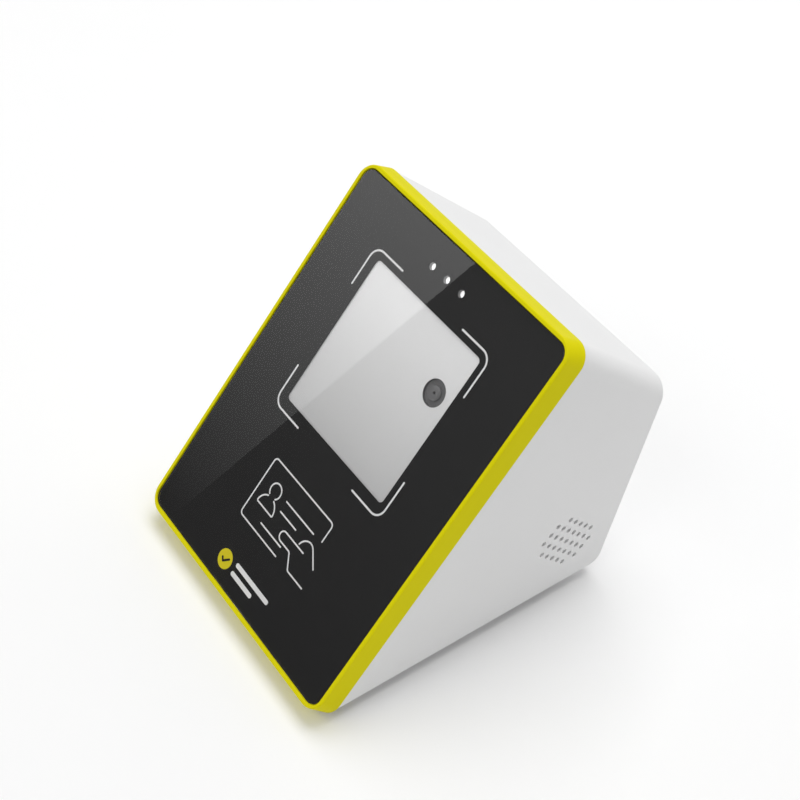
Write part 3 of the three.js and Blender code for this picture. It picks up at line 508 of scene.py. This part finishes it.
# Front glass, with its black print, its white marks and its badge
def makeGlass():
    values = {"printFront": 1.47, "printBack": 1.58, "printInset": 0.25, "markFront": 1.44,
              "dot": 1.3, "dotPitch": 7.7, "dotHeight": 129.6}
    middle = (0, glass["height"] / 2)
    pane = slab(glass["width"], glass["height"], glass["corner"], middle, -glass["thickness"], 0, 10,
                glass["edge"], 3)
    makePiece("frontGlass", pane, panel, looks["glass"], ["front_glass"], sharp=60)

    inset = values["printInset"]
    ink = slab(glass["width"] - 2 * inset, glass["height"] - 2 * inset, glass["corner"] - inset, middle,
               -values["printBack"], -values["printFront"], 10)
    holes = [slab(window["size"], window["size"], window["corner"], window["centre"], -5, 5)]
    for step in (-1, 0, 1):
        holes.append(rod(values["dot"], -5, 5, (step * values["dotPitch"], values["dotHeight"]), 28))
    makePiece("blackPrint", carve(ink, holes), panel, looks["ink"])
    return values


# Marks are laid out from the glass's top left corner, x to the right and y down
markShift = (0.3, 0.55)


def mark(x, y):
    return x - glass["width"] / 2 - markShift[0], glass["height"] - y - markShift[1]


def makeMarks(front, back):
    marks = {"line": 0.56, "frameLine": 0.68, "reach": 15.5, "corner": 4.4,
             "frame": (20.9, 83.95, 17.3, 80.9)}  # left, right, top, bottom
    line, frameLine = marks["line"], marks["frameLine"]
    left, right, top, bottom = marks["frame"]
    half = frameLine / 2
    shapes = []
    straight = marks["reach"] - marks["corner"]
    for x, y, heading in ((left + half, top + marks["reach"], 90), (right - marks["reach"], top + half, 0),
                          (right - half, bottom - marks["reach"], -90), (left + marks["reach"], bottom - half, 180)):
        shapes.append(penLine(mark(x, y), heading, [straight, (marks["corner"] - half, -90), straight], frameLine))

    # a card, open at its lower right where a hand holds it
    card = {"left": 35.5, "right": 70.5, "top": 93.2, "bottom": 116.5, "corner": 1.5, "rightEnd": 100.5,
            "bottomEnd": 58.6, "lines": ((49.2, 100.8, 17.0), (49.4, 104.8, 9.9), (45.2, 113.0, 12.9))}
    wide = card["right"] - card["left"] - 2 * card["corner"]
    tall = card["bottom"] - card["top"] - 2 * card["corner"]
    shapes.append(penLine(mark(card["bottomEnd"], card["bottom"]), 180, [
        card["bottomEnd"] - card["left"] - card["corner"], (card["corner"], -90), tall, (card["corner"], -90), wide,
        (card["corner"], -90), card["rightEnd"] - card["top"] - card["corner"]], line))
    # the holder's head and shoulders, two arcs that share a neck
    holder = {"x": 43.25, "headRise": 101.5, "head": 2.7, "neck": 33, "base": 108.7, "shoulder": 4.6, "slope": 18.4}
    neck, slope = radians(holder["neck"]), radians(holder["slope"])
    chin = mark(holder["x"] - holder["head"] * sin(neck), holder["headRise"] + holder["head"] * cos(neck))
    shapes.append(penLine(chin, 180 - holder["neck"], [(holder["head"], -(360 - 2 * holder["neck"]))], line))
    for side in (-1, 1):
        start = mark(holder["x"] + side * holder["shoulder"] * sin(slope),
                     holder["base"] - holder["shoulder"] * cos(slope))
        heading = -holder["slope"] if side > 0 else 180 + holder["slope"]
        shapes.append(penLine(start, heading, [(holder["shoulder"], -side * (90 - holder["slope"]))], line))
    shapes.append(penLine(mark(holder["x"] - holder["shoulder"], holder["base"]), 0, [2 * holder["shoulder"]], line))
    for x, y, length in card["lines"]:
        shapes.append(penLine(mark(x, y), 0, [length], line))
    # the hand: a fingertip that wraps the card's edge, its underside and a thumb
    finger = {"top": 108.0, "bottom": 111.6, "tip": 54.6, "topEnd": 67.1, "turn": 61.3,
              "underside": [(1.2, -53), 4.9, (1.2, 53), 8.4]}
    thumb = {"start": (63.4, 107.2), "heading": 75, "moves": [0.5, (4.3, -55), (3, -65), 6.6]}
    radius = (finger["bottom"] - finger["top"]) / 2
    shapes.append(penLine(mark(finger["topEnd"], finger["top"]), 180, [
        finger["topEnd"] - finger["tip"] - radius, (radius, 180), finger["turn"] - finger["tip"] - radius,
        *finger["underside"]], line))
    shapes.append(penLine(mark(*thumb["start"]), thumb["heading"], thumb["moves"], line))
    bars = {"low": 128.9, "height": 1.7, "gap": 1.7, "left": 46.6, "long": 20.0, "short": 12.8}
    for index, length in enumerate((bars["long"], bars["short"])):
        y = bars["low"] + bars["height"] / 2 + index * (bars["height"] + bars["gap"])
        shapes.append(penLine(mark(bars["left"], y), 0, [length], bars["height"]))
    solid = [thicken(shape, -back, -front) for shape in shapes]
    makePiece("whiteMarks", gather(solid), panel, looks["whiteInk"])

    badge = {"radius": 3.5, "centre": (41.3, 131.9), "tick": 0.8, "tickStart": (-1.7, 0.1),
             "tickMoves": [1.7, (0.05, 90), 3.4]}
    x, y = mark(*badge["centre"])
    disc = rod(badge["radius"], -back, -front, (x, y), 48)
    makePiece("roundBadge", disc, panel, looks["badge"])
    tick = penLine((x + badge["tickStart"][0], y + badge["tickStart"][1]), -45, badge["tickMoves"], badge["tick"])
    makePiece("badgeTick", thicken(tick, -back - 0.01, -front + 0.02), panel, looks["ink"])


printed = makeGlass()
makeMarks(printed["markFront"], printed["printFront"] + 0.02)
print("glass, print and marks made")


# Yellow bezel: a rounded rim round the glass, a ledge behind it and a pocket for the frame
def makeBezel():
    bezel = {"rim": 2.5, "proud": 0.3, "depth": 7.4, "wall": 2.2, "seat": 2.3, "ledge": 1.8, "ledgeWidth": 5,
             "round": 0.5, "flare": 0.75, "gap": 0.3, "pocketLow": 6}
    width, height = glass["width"] + 2 * bezel["rim"], glass["height"] + 2 * bezel["rim"]
    middle = (0, glass["height"] / 2)
    corner = glass["corner"] + bezel["rim"]
    ring = thicken(flatRect(width, height, corner, middle, 12), -bezel["depth"], bezel["proud"])
    for vert in ring.verts:  # the walls flare towards the housing, so the front outline is smaller
        if vert.co.z > 0:
            vert.co.x -= bezel["flare"] if vert.co.x > 0 else -bezel["flare"]
            vert.co.y -= bezel["flare"] if vert.co.y > middle[1] else -bezel["flare"]
    roundLevel(ring, bezel["proud"], bezel["round"], 5)
    gap = 2 * bezel["gap"]
    seatHole = slab(glass["width"] + gap, glass["height"] + gap, glass["corner"] + bezel["gap"], middle,
                    -bezel["seat"], 5, 10)
    view = slab(glass["width"] - 2 * bezel["ledgeWidth"], glass["height"] - 2 * bezel["ledgeWidth"], 2, middle,
                -20, 5)
    pocketTop = glass["height"] + bezel["rim"] - bezel["wall"]
    pocketTall = pocketTop - bezel["pocketLow"]
    pocket = slab(width - 2 * bezel["wall"], pocketTall, corner - bezel["wall"],
                  (0, bezel["pocketLow"] + pocketTall / 2), -20, -bezel["seat"] - bezel["ledge"])
    makePiece("yellowBezel", carve(ring, [seatHole, view, pocket]), panel, looks["yellow"],
              ["bezel"], sharp=40, soften=0.12)
    return bezel


bezel = makeBezel()
print("bezel made")


housing = {"inset": 0.3, "wall": 2.5, "front": 7.55, "heel": 4, "edge": 0.5, "base": 5.5, "deep": 140,
           "behindPanel": 31.3}
housing["backFoot"] = glass["height"] * cos(tilt) + housing["behindPanel"]


def backAt(height, inset=0):
    return housing["backFoot"] + (height - housing["base"]) * tan(lean) - inset / cos(lean)


# The wedge: walls that draw in behind the bezel, cut by the base plane and the leaning back wall
def wedge(inset, front, heel, edge=0):
    width = glass["width"] + 2 * bezel["rim"] - 2 * (housing["inset"] + inset)
    height = glass["height"] + 2 * bezel["rim"] - 2 * (housing["inset"] + inset)
    corner = glass["corner"] + bezel["rim"] - housing["inset"] - inset
    middle = glass["height"] / 2
    bm = thicken(flatRect(width, height, corner, (0, middle), 12), -housing["deep"], -front)
    for vert in bm.verts:  # the draft draws every wall in by the same amount
        drawIn = tan(draft) * (-vert.co.z - bezel["depth"])
        vert.co.x -= drawIn if vert.co.x > 0 else -drawIn
        vert.co.y -= drawIn if vert.co.y > middle else -drawIn
    placed(bm, standing.inverted() @ panel)
    planes = (((0, 0, housing["base"] + inset), (0, 0, -1)),
              ((0, backAt(housing["base"], inset), housing["base"]), (0, cos(lean), -sin(lean))))
    for point, normal in planes:
        made = bmesh.ops.bisect_plane(bm, geom=bm.verts[:] + bm.edges[:] + bm.faces[:], plane_co=point,
                                      plane_no=normal, clear_outer=True)
        bmesh.ops.contextual_create(bm, geom=edgesOf(made["geom_cut"]))
    bmesh.ops.recalc_face_normals(bm, faces=bm.faces)
    onBack = lambda vert: abs((vert.co - Vector(planes[1][0])).dot(Vector(planes[1][1]))) < 1e-3
    onBase = lambda vert: abs(vert.co.z - planes[0][0][2]) < 1e-3
    low = [one for one in bm.edges if all(onBack(vert) and onBase(vert) for vert in one.verts)]
    heelReach = heel / tan((pi / 2 + lean) / 2)
    bevelled(bm, low, "EDGES", heelReach, 8)
    if edge:
        rim = [one for one in bm.edges if len(one.link_faces) == 2 and one.calc_face_angle() > radians(50)
               and (all(onBack(vert) for vert in one.verts) or all(not onBase(vert) for vert in one.verts)
                    and min(vert.co.y for vert in one.verts) > backAt(housing["base"]) - 2 * heelReach
                    and max(vert.co.z for vert in one.verts) < housing["base"] + 2 * heel)]
        bevelled(bm, rim, "EDGES", edge, 3, True)
    return bm


grille = {"pitch": 3.75, "radius": 0.97, "rows": (5, 7, 7, 7, 5), "shift": (0.4, -0.6)}
# The cutters start 20 mm behind the wall's foot and miss the wall, so it has no openings. About -10 would reach it.
sockets = {"gap": 0.3, "button": 2.3, "buttonGap": 0.3, "cutLength": 30, "cutStart": 20}


def grillePlace():
    low, high = standingBox("grille_mesh")
    out = (panelTurn @ Vector((cos(draft), 0, -sin(draft)))).normalized()
    along = (Vector((0, 1, -1)) - out * Vector((0, 1, -1)).dot(out)).normalized()
    up = out.cross(along)
    turn = Matrix((along, up, out)).transposed().to_4x4()
    return Matrix.Translation((low + high) / 2 + Vector((0, *grille["shift"]))) @ turn


def alongBack(bm, x=0, z=0):  # turns a cutter drawn along z to lie along y
    start = housing["backFoot"] + sockets["cutStart"]
    return placed(bm, Matrix.Translation((x, start, z)) @ Matrix.Rotation(pi / 2, 4, "X"))


def makeHousing():
    skin = wedge(0, housing["front"], housing["heel"], housing["edge"])
    hollow = wedge(housing["wall"], bezel["depth"] - 1, housing["heel"] - housing["wall"])
    holes = []
    for row, count in enumerate(grille["rows"]):
        up = (row - (len(grille["rows"]) - 1) / 2) * grille["pitch"]
        for index in range(count):
            at = ((index - (count - 1) / 2) * grille["pitch"], up)
            holes.append(rod(grille["radius"], -1.5, 8, at, 20))
    drill = placed(gather(holes), grillePlace())
    cutters = [hollow, drill]
    for node in ("ethernet_jack", "power_jack"):
        low, high = standingBox(node)
        gap = 2 * sockets["gap"]
        centre = ((low.x + high.x) / 2, (low.z + high.z) / 2)
        cutters.append(alongBack(slab(high.x - low.x + gap, high.z - low.z + gap, gap, centre,
                                      -sockets["cutLength"], 0, 4)))
    low, high = standingBox("reset_button")
    button = (low + high) / 2
    bore = rod(sockets["button"] + sockets["buttonGap"], -sockets["cutLength"], 0)
    cutters.append(alongBack(bore, button.x, button.z))
    low, high = standingBox("base_cover")
    centre = middleOf(low, high)
    ledge = {"gap": 0.3, "cutCorner": 6.3, "cutTop": 8.5, "reach": 3, "corner": 9, "low": 7.9, "high": 9.9,
             "inset": 4, "innerCorner": 3}

    def coverSlab(grow, *rest):
        return slab(high.x - low.x + 2 * grow, high.y - low.y + 2 * grow, rest[0], centre, *rest[1:])

    cutters.append(coverSlab(ledge["gap"], ledge["cutCorner"], -5, ledge["cutTop"], 8))
    shell = carve(skin, cutters)
    # the ledge that the cover rests against, on the floor inside
    rest = coverSlab(ledge["reach"], ledge["corner"], ledge["low"], ledge["high"])
    inner = coverSlab(-ledge["inset"], ledge["innerCorner"], 5, 12)
    makePiece("whiteHousing", carve(shell, [], [carve(rest, [inner])]), standing, looks["housing"],
              ["housing"], sharp=30)


makeHousing()
print("housing made")


# Window plate, lens and indicator lamps behind the glass
def makeWindow():
    front, size = window["front"], window["diffuser"]
    middle = (0, glass["height"] - window["plateDrop"])
    plate = slab(size, size, window["plateCorner"], middle, -front - window["thickness"], -front, 6,
                 window["plateEdge"])
    hole = rod(window["opening"] / 2, -9, 5, window["lens"], 48)
    makePiece("windowPlate", carve(plate, [hole]), panel, looks["frosted"], ["diffuser_plate"])

    lens = {"radius": 4, "flange": 4.4, "flangeThickness": 0.8, "face": -2.6, "boss": 2.5, "rise": -1.7,
            "edge": 0.12, "pupil": 0.3, "cone": 0.5, "coneStep": (0.1, 0.2), "dish": -3.0, "tail": -18}
    face, rise, edge, flange = lens["face"], lens["rise"], lens["edge"], lens["flange"]
    pupil, radius, boss, cone, tail = lens["pupil"], lens["radius"], lens["boss"], lens["cone"], lens["tail"]
    under = face - lens["flangeThickness"]
    barrel = turned([
        (pupil, tail), (radius, tail), (radius, under), (flange, under), (flange, face - edge), (flange - edge, face),
        (boss, face), (boss, rise - edge), (boss - edge, rise), (cone, rise),
        (cone - lens["coneStep"][0], rise - lens["coneStep"][1]), (pupil, lens["dish"]), (pupil, tail)], 64)
    at = (*window["lens"], 0)
    makePiece("lensBarrel", moved(barrel, at), panel, looks["lens"], ["lens_barrel"])
    # painted shade: a dark grey ring lines the plate's hole so the gap round the lens shows dark
    gapShadeRing = {"inner": 4.41, "outer": 4.54, "back": -3.7, "front": -1.82}
    inner, outer, back, front = gapShadeRing.values()
    ring = turned([(inner, back), (outer, back), (outer, front), (inner, front), (inner, back)], 64)
    makePiece("lensGapShade", moved(ring, at), panel, looks["darkGrey"])
    dome = {"radius": 0.28, "back": -3.9, "side": -3.3, "crown": ((0.2, -3.12), (0.1, -3.05), (0, -3.04))}
    element = turned([(0, dome["back"]), (dome["radius"], dome["back"]), (dome["radius"], dome["side"]),
                      *dome["crown"]], 32)
    makePiece("lensElement", moved(element, at), panel, looks["lensGlass"], ["lens_element"])


def makeLamps():
    lamp = {"radius": 1.2, "face": -2.4, "back": -7.1, "sleeve": (1.27, 1.7), "sleeveFront": -1.6,
            "sleeveBack": -4.1, "crown": ((0, 0.3), (0.12, 0.1), (0.4, 0.02))}  # crown: inset, drop
    sleeves = []
    for side, step in (("left", -1), ("centre", 0), ("right", 1)):
        at = (step * printed["dotPitch"], printed["dotHeight"], 0)
        crown = [(lamp["radius"] - inset, lamp["face"] - drop) for inset, drop in lamp["crown"]]
        profile = [(0, lamp["back"]), (lamp["radius"], lamp["back"]), *crown, (0, lamp["face"])]
        makePiece("lampPipe" + side.capitalize(), moved(turned(profile, 32), at), panel, looks["lampFace"],
                  ["indicator_pipe_" + side])
        inner, outer = lamp["sleeve"]
        ring = turned([(inner, lamp["sleeveBack"]), (outer, lamp["sleeveBack"]), (outer, lamp["sleeveFront"]),
                       (inner, lamp["sleeveFront"]), (inner, lamp["sleeveBack"])], 32)
        sleeves.append(moved(ring, at))
    makePiece("lampSleeves", gather(sleeves), panel, looks["sleeve"])


makeWindow()
makeLamps()
print("window, lens and lamps made")


# Cross-recessed pan-head screw, its head's underside at z = 0
def panScrew(radius, head, height, length, slot):
    crown = ((1, 0.45), (0.9, 0.8), (0.62, 1))  # shares of the head's radius and height
    shape = turned([(0, -length), (radius * 0.6, -length), (radius, -length + radius), (radius, 0), (head, 0),
                    *((head * across, height * up) for across, up in crown), (0, height)], 32)
    bars = [slab(head * 1.05, slot, slot * 0.3, (0, 0), height * 0.4, height * 2, 2),
            slab(slot, head * 1.05, slot * 0.3, (0, 0), height * 0.4, height * 2, 2)]
    return carve(shape, bars)


def makeBase():
    cover = {"vents": 5, "ventLength": 26, "ventWidth": 2.4, "pitch": 5, "forward": 14, "corner": 6, "edge": 0.3,
             "thickness": 2.3, "gap": 0.3, "footRecess": 0.5, "screwRecess": 1.7}
    screw = {"radius": 1.4, "head": 2.8, "height": 1.6, "length": 5, "slot": 0.7}
    sole = {"rise": 0.25, "cup": (0.55, 0.6), "land": 1.1, "edge": (0.35, 0.9)}
    low, high = standingBox("base_cover")
    centre = middleOf(low, high)
    width, length = high.x - low.x, high.y - low.y
    base = housing["base"]
    plate = slab(width, length, cover["corner"], centre, base, base + cover["thickness"], 8, cover["edge"])
    cutters = [slab(cover["ventLength"], cover["ventWidth"], cover["ventWidth"] / 2,
                    (0, centre[1] - cover["forward"] + (index - (cover["vents"] - 1) / 2) * cover["pitch"]), -5, 20, 8)
               for index in range(cover["vents"])]
    feet = []
    for index in range(4):
        footLow, footHigh = standingBox(f"rubber_foot_{index + 1}")
        at = middleOf(footLow, footHigh)
        radius = (footHigh.x - footLow.x) / 2
        cutters.append(rod(radius + cover["gap"], -5, base + cover["footRecess"], at, 48))
        feet.append((at, radius, footHigh.z))
    screws = []
    for index in range(4):
        at = middleOf(*standingBox(f"cover_screw_{index + 1}"))
        cutters.append(rod(screw["head"] + cover["gap"], -5, base + cover["screwRecess"], at, 32))
        screws.append(at)
    makePiece("baseCover", carve(plate, cutters), standing, looks["black"], ["base_cover"])
    for index, (at, radius, top) in enumerate(feet):
        rise, (cupped, cupEnd), (inset, shoulder) = sole["rise"], sole["cup"], sole["edge"]
        profile = [(0, rise), (radius * cupped, rise), (radius * cupEnd, 0), (radius - sole["land"], 0),
                   (radius - inset, rise), (radius, shoulder), (radius, top), (0, top)]
        foot = moved(turned(profile, 48), (*at, 0))
        makePiece(f"rubberFoot{index + 1}", foot, standing, looks["rubber"],
                  [f"rubber_foot_{index + 1}"], sharp=50)
    for index, at in enumerate(screws):
        turn = Matrix.Translation((*at, base + cover["screwRecess"])) @ Matrix.Rotation(pi, 4, "X")
        makePiece(f"coverScrew{index + 1}", placed(panScrew(*screw.values()), turn), standing, looks["steel"],
                  [f"cover_screw_{index + 1}"])


makeBase()
print("base, feet and screws made")


# Places what is drawn facing +z to face the back, its bottom edge's middle at the box's
def facingBack(low, high):
    turn = Matrix(((-1, 0, 0, 0), (0, 0, 1, 0), (0, 1, 0, 0), (0, 0, 0, 1)))
    return Matrix.Translation(((low.x + high.x) / 2, high.y, low.z)) @ turn


# Sockets and the reset button, behind the back wall
def makeSockets():
    low, high = standingBox("ethernet_jack")
    network = {"wall": 1.2, "mouth": (11.9, 8.2), "latch": (6.2, 2.2), "cavity": 13, "insert": (12.6, 1.2),
               "insertGap": 0.1, "insertMouth": (1.4, 1.6), "insertDrop": 0.7, "insertDeep": 11.5}
    contact = {"count": 8, "pitch": 1.02, "width": 0.35, "length": 9, "half": 0.12, "drop": 2.6, "deep": 6.6,
               "slope": 72}
    size, face = high - low, facingBack(low, high)
    wide, tall = network["mouth"]
    latchWide, latchTall = network["latch"]
    shell = slab(size.x, size.z, 0.3, (0, size.z / 2), -size.y, 0, 3, 0.2)
    latchTop = network["wall"] + latchTall
    mouthAt = latchTop + tall / 2
    mouth = slab(wide, tall, 0.15, (0, mouthAt), -network["cavity"], 5, 2)
    latch = slab(latchWide, latchTall + 1, 0.15, (0, network["wall"] + latchTall / 2 + 0.5), -network["cavity"], 5, 2)
    makePiece("networkSocket", placed(carve(shell, [mouth, latch]), face), standing, looks["nickel"],
              ["ethernet_jack"])
    insertBack, insertFront = network["insert"]
    lessWide, lessTall = network["insertMouth"]
    block = slab(wide - network["insertGap"], tall - network["insertGap"], 0.1, (0, mouthAt),
                 -insertBack, -insertFront, 2)
    inside = slab(wide - lessWide, tall - lessTall, 0.1, (0, mouthAt - network["insertDrop"]),
                  -network["insertDeep"], 5, 2)
    makePiece("networkInsert", placed(carve(block, [inside]), face), standing, looks["black"])
    slope = Matrix.Rotation(radians(contact["slope"]), 4, "X")
    pins = []
    for index in range(contact["count"]):
        at = (index - (contact["count"] - 1) / 2) * contact["pitch"]
        pin = slab(contact["width"], contact["length"], 0.1, (0, 0), -contact["half"], contact["half"], 2)
        place = Matrix.Translation((at, latchTop + tall - contact["drop"], -contact["deep"]))
        pins.append(placed(pin, place @ slope))
    makePiece("networkContacts", placed(gather(pins), face), standing, looks["gold"])

    low, high = standingBox("power_jack")
    power = {"bore": 3.1, "pin": 1, "cavity": 10, "corner": 0.4, "edge": 0.25}
    size, face = high - low, facingBack(low, high)
    body = slab(size.x, size.z, power["corner"], (0, size.z / 2), -size.y, 0, 3, power["edge"])
    bore = rod(power["bore"], -power["cavity"], 5, (0, size.z / 2), 40)
    makePiece("powerSocket", placed(carve(body, [bore]), face), standing, looks["black"],
              ["power_jack"])
    post = rod(power["pin"], -power["cavity"] - 1, -1, (0, size.z / 2), 24, power["edge"])
    makePiece("powerPin", placed(post, face), standing, looks["nickel"])

    low, high = standingBox("reset_button")
    centre, length, face = (low + high) / 2, high.y - low.y, high.y
    button = {"stem": 1, "flange": 3, "flangeAt": -3.5, "flangeThickness": 1, "edge": 0.35, "dish": 0.15}
    radius, flange, stem = sockets["button"], button["flange"], button["stem"]
    behind, front = button["flangeAt"], button["flangeAt"] + button["flangeThickness"]
    profile = [(0, -length), (stem, -length), (stem, behind), (flange, behind), (flange, front), (radius, front),
               (radius, -button["edge"]), (radius - button["edge"], 0), (stem, -button["dish"]), (0, -button["dish"])]
    turn = Matrix.Translation((centre.x, face, centre.z)) @ Matrix.Rotation(-pi / 2, 4, "X")
    makePiece("resetButton", placed(turned(profile, 48), turn), standing, looks["darkGrey"],
              ["reset_button"], "reset_button")


makeSockets()
print("sockets made")


# Carried-over nodes take these finishes
finishes = {
    "tape": ["glass_tape"], "black": ["carrier_frame", "lens_holder", "sam_socket", "reset_switch"],
    "white": ["light_box", "fill_light_board"], "led": [name for name in nodes if "_led_" in name],
    "greenBoard": ["camera_board", "indicator_board", "main_board", "port_board"], "blueBoard": ["antenna_board"],
    "ferrite": ["ferrite_sheet"], "nickel": ["processor_shield", "speaker_frame", "sam_lid"],
    "card": ["sam_card"], "magnet": ["speaker_magnet"], "paper": ["grille_mesh", "speaker_cone"],
    "darkGrey": ["board_connector", "image_sensor"],
    "steel": [name for name in nodes if "screw" in name],
}
for look, names in finishes.items():
    for name in names:
        nodes[name].data.materials.clear()
        nodes[name].data.materials.append(looks[look])
print("finishes assigned")


# Camera, floor and light
view = {"azimuth": 53.685, "elevation": 43.581, "roll": 3.6, "distance": 0.541055, "lens": 75,
        "sensor": 36, "clip": (0.01, 20), "aim": (-0.002681, 0.001819, 0.063402)}


def makeCamera():
    azimuth, elevation = radians(view["azimuth"]), radians(view["elevation"])
    back = Vector((sin(azimuth) * cos(elevation), -cos(azimuth) * cos(elevation), sin(elevation)))
    level = Vector((cos(azimuth), sin(azimuth), 0))
    rise = back.cross(level)
    roll = radians(view["roll"])
    right, up = level * cos(roll) + rise * sin(roll), rise * cos(roll) - level * sin(roll)
    lens = bpy.data.cameras.new("camera")
    lens.lens, lens.sensor_width = view["lens"], view["sensor"]
    lens.clip_start, lens.clip_end = view["clip"]
    camera = addObject("camera", lens)
    place = Matrix((right, up, back)).transposed().to_4x4()
    camera.matrix_world = Matrix.Translation(Vector(view["aim"]) + back * view["distance"]) @ place
    bpy.context.scene.camera = camera
    return camera


camera = makeCamera()


def softLight(name, place, aim, size, radiance):
    data = bpy.data.lights.new(name, "AREA")
    data.shape, data.size, data.size_y = "RECTANGLE", *size
    data.energy = radiance * pi * size[0] * size[1]
    light = addObject(name, data)
    light.location = place
    light.rotation_mode = "QUATERNION"
    light.rotation_quaternion = (Vector(aim) - Vector(place)).to_track_quat("-Z", "Y")
    return light


lights = {
    "key": {"place": (0.15, -1.0, 1.25), "aim": (0, 0, 0.05), "size": (1.1, 0.8), "radiance": 1.3},
    "top": {"place": (-0.2, 0.5, 1.5), "aim": (0, 0, 0.05), "size": (1.3, 1.0), "radiance": 3.4},
}
for name, one in lights.items():
    softLight(name, one["place"], one["aim"], one["size"], one["radiance"])


# A glowing panel that the glass mirrors: it lies parallel to the glass, and its edge crosses the mirrored view
def makeMirroredPanel():
    glow = {"away": 0.55, "edge": ((58.8, 0), (14.5, 130)), "top": 2.03, "bottom": 0.12, "curve": 1.2, "wide": 0.62,
            "rows": (-15, 150)}
    origin = panel @ Vector((0, 0, 0))
    normal = (panelTurn @ Vector((0, 0, 1))).normalized()
    eye = camera.matrix_world.translation
    mirrored = eye - normal * 2 * (eye - origin).dot(normal)
    scale = 1 + glow["away"] / (eye - origin).dot(normal)

    def seenAt(x, y):
        return mirrored + (panel @ Vector((*mark(x, y), 0)) - mirrored) * scale

    def edgeAt(y):
        (x0, y0), (x1, y1) = glow["edge"]
        return x0 + (x1 - x0) * (y - y0) / (y1 - y0)

    bm = bmesh.new()
    first, last = glow["rows"]
    corners = [seenAt(edgeAt(first), first), seenAt(edgeAt(last), last)]
    acrossGlass = (seenAt(0, 0) - seenAt(100, 0)).normalized()
    corners += [corners[1] + acrossGlass * glow["wide"], corners[0] + acrossGlass * glow["wide"]]
    face = bm.faces.new([bm.verts.new(corner) for corner in corners])
    if face.normal.dot(normal) > 0:
        face.normal_flip()
    mesh = asMesh("glowPanel", bm)
    thing = addObject("glowPanel", mesh)
    material = bpy.data.materials.new("glowPanel")
    material.use_nodes = True
    tree = material.node_tree
    tree.nodes.remove(tree.nodes["Principled BSDF"])
    emission = tree.nodes.new("ShaderNodeEmission")
    down = seenAt(0, last) - seenAt(0, first)
    dot = tree.nodes.new("ShaderNodeVectorMath")
    dot.operation = "DOT_PRODUCT"
    tree.links.new(objectPoint(tree), dot.inputs[0])
    dot.inputs[1].default_value = down.normalized()
    fall = tree.nodes.new("ShaderNodeMapRange")
    start = seenAt(0, first).dot(down.normalized())
    fall.inputs["From Min"].default_value = start
    fall.inputs["From Max"].default_value = start + down.length
    fall.inputs["To Min"].default_value, fall.inputs["To Max"].default_value = 1, 0
    tree.links.new(dot.outputs["Value"], fall.inputs["Value"])
    curve = calc(tree, "POWER", fall.outputs["Result"], glow["curve"])
    tree.links.new(calc(tree, "MULTIPLY_ADD", curve, glow["top"], glow["bottom"]), emission.inputs["Strength"])
    tree.links.new(emission.outputs["Emission"], tree.nodes["Material Output"].inputs["Surface"])
    mesh.materials.append(material)
    thing.visible_camera = False
    print("glow panel corners:", [tuple(round(part, 3) for part in corner) for corner in corners])


makeMirroredPanel()


def makeFloor():
    bm = bmesh.new()
    bmesh.ops.create_grid(bm, x_segments=2, y_segments=2, size=2.5)
    mesh = asMesh("paleFloor", bm)
    floor = addObject("paleFloor", mesh)
    mesh.materials.append(moulded("floorPaint", (0.965, 0.965, 0.965), 0.7, 0.1, 300, 0.01, 0.004))


makeFloor()


def makeWorld():
    levels = {"seen": 1.0, "around": 0.39, "low": 0.35, "high": 1.25, "rise": 0.35}  # darker towards the horizon
    world = bpy.data.worlds.new("studio")
    bpy.context.scene.world = world
    world.use_nodes = True
    tree = world.node_tree
    plain = tree.nodes["Background"]
    rise, split = tree.nodes.new("ShaderNodeMapRange"), tree.nodes.new("ShaderNodeSeparateXYZ")
    tree.links.new(tree.nodes.new("ShaderNodeTexCoord").outputs["Generated"], split.inputs["Vector"])
    rise.inputs["From Max"].default_value = levels["rise"]
    rise.inputs["To Min"].default_value = levels["around"] * levels["low"]
    rise.inputs["To Max"].default_value = levels["around"] * levels["high"]
    tree.links.new(split.outputs["Z"], rise.inputs["Value"])
    tree.links.new(rise.outputs["Result"], plain.inputs["Strength"])
    plain.inputs["Color"].default_value = (1, 1, 1, 1)
    bright = tree.nodes.new("ShaderNodeBackground")
    bright.inputs["Color"].default_value = (1, 1, 1, 1)
    bright.inputs["Strength"].default_value = levels["seen"]
    path, mixed = tree.nodes.new("ShaderNodeLightPath"), tree.nodes.new("ShaderNodeMixShader")
    tree.links.new(path.outputs["Is Camera Ray"], mixed.inputs["Fac"])
    tree.links.new(plain.outputs["Background"], mixed.inputs[1])
    tree.links.new(bright.outputs["Background"], mixed.inputs[2])
    tree.links.new(mixed.outputs["Shader"], tree.nodes["World Output"].inputs["Surface"])


makeWorld()
bpy.context.scene.view_settings.view_transform = "Standard"
print("camera and light made")
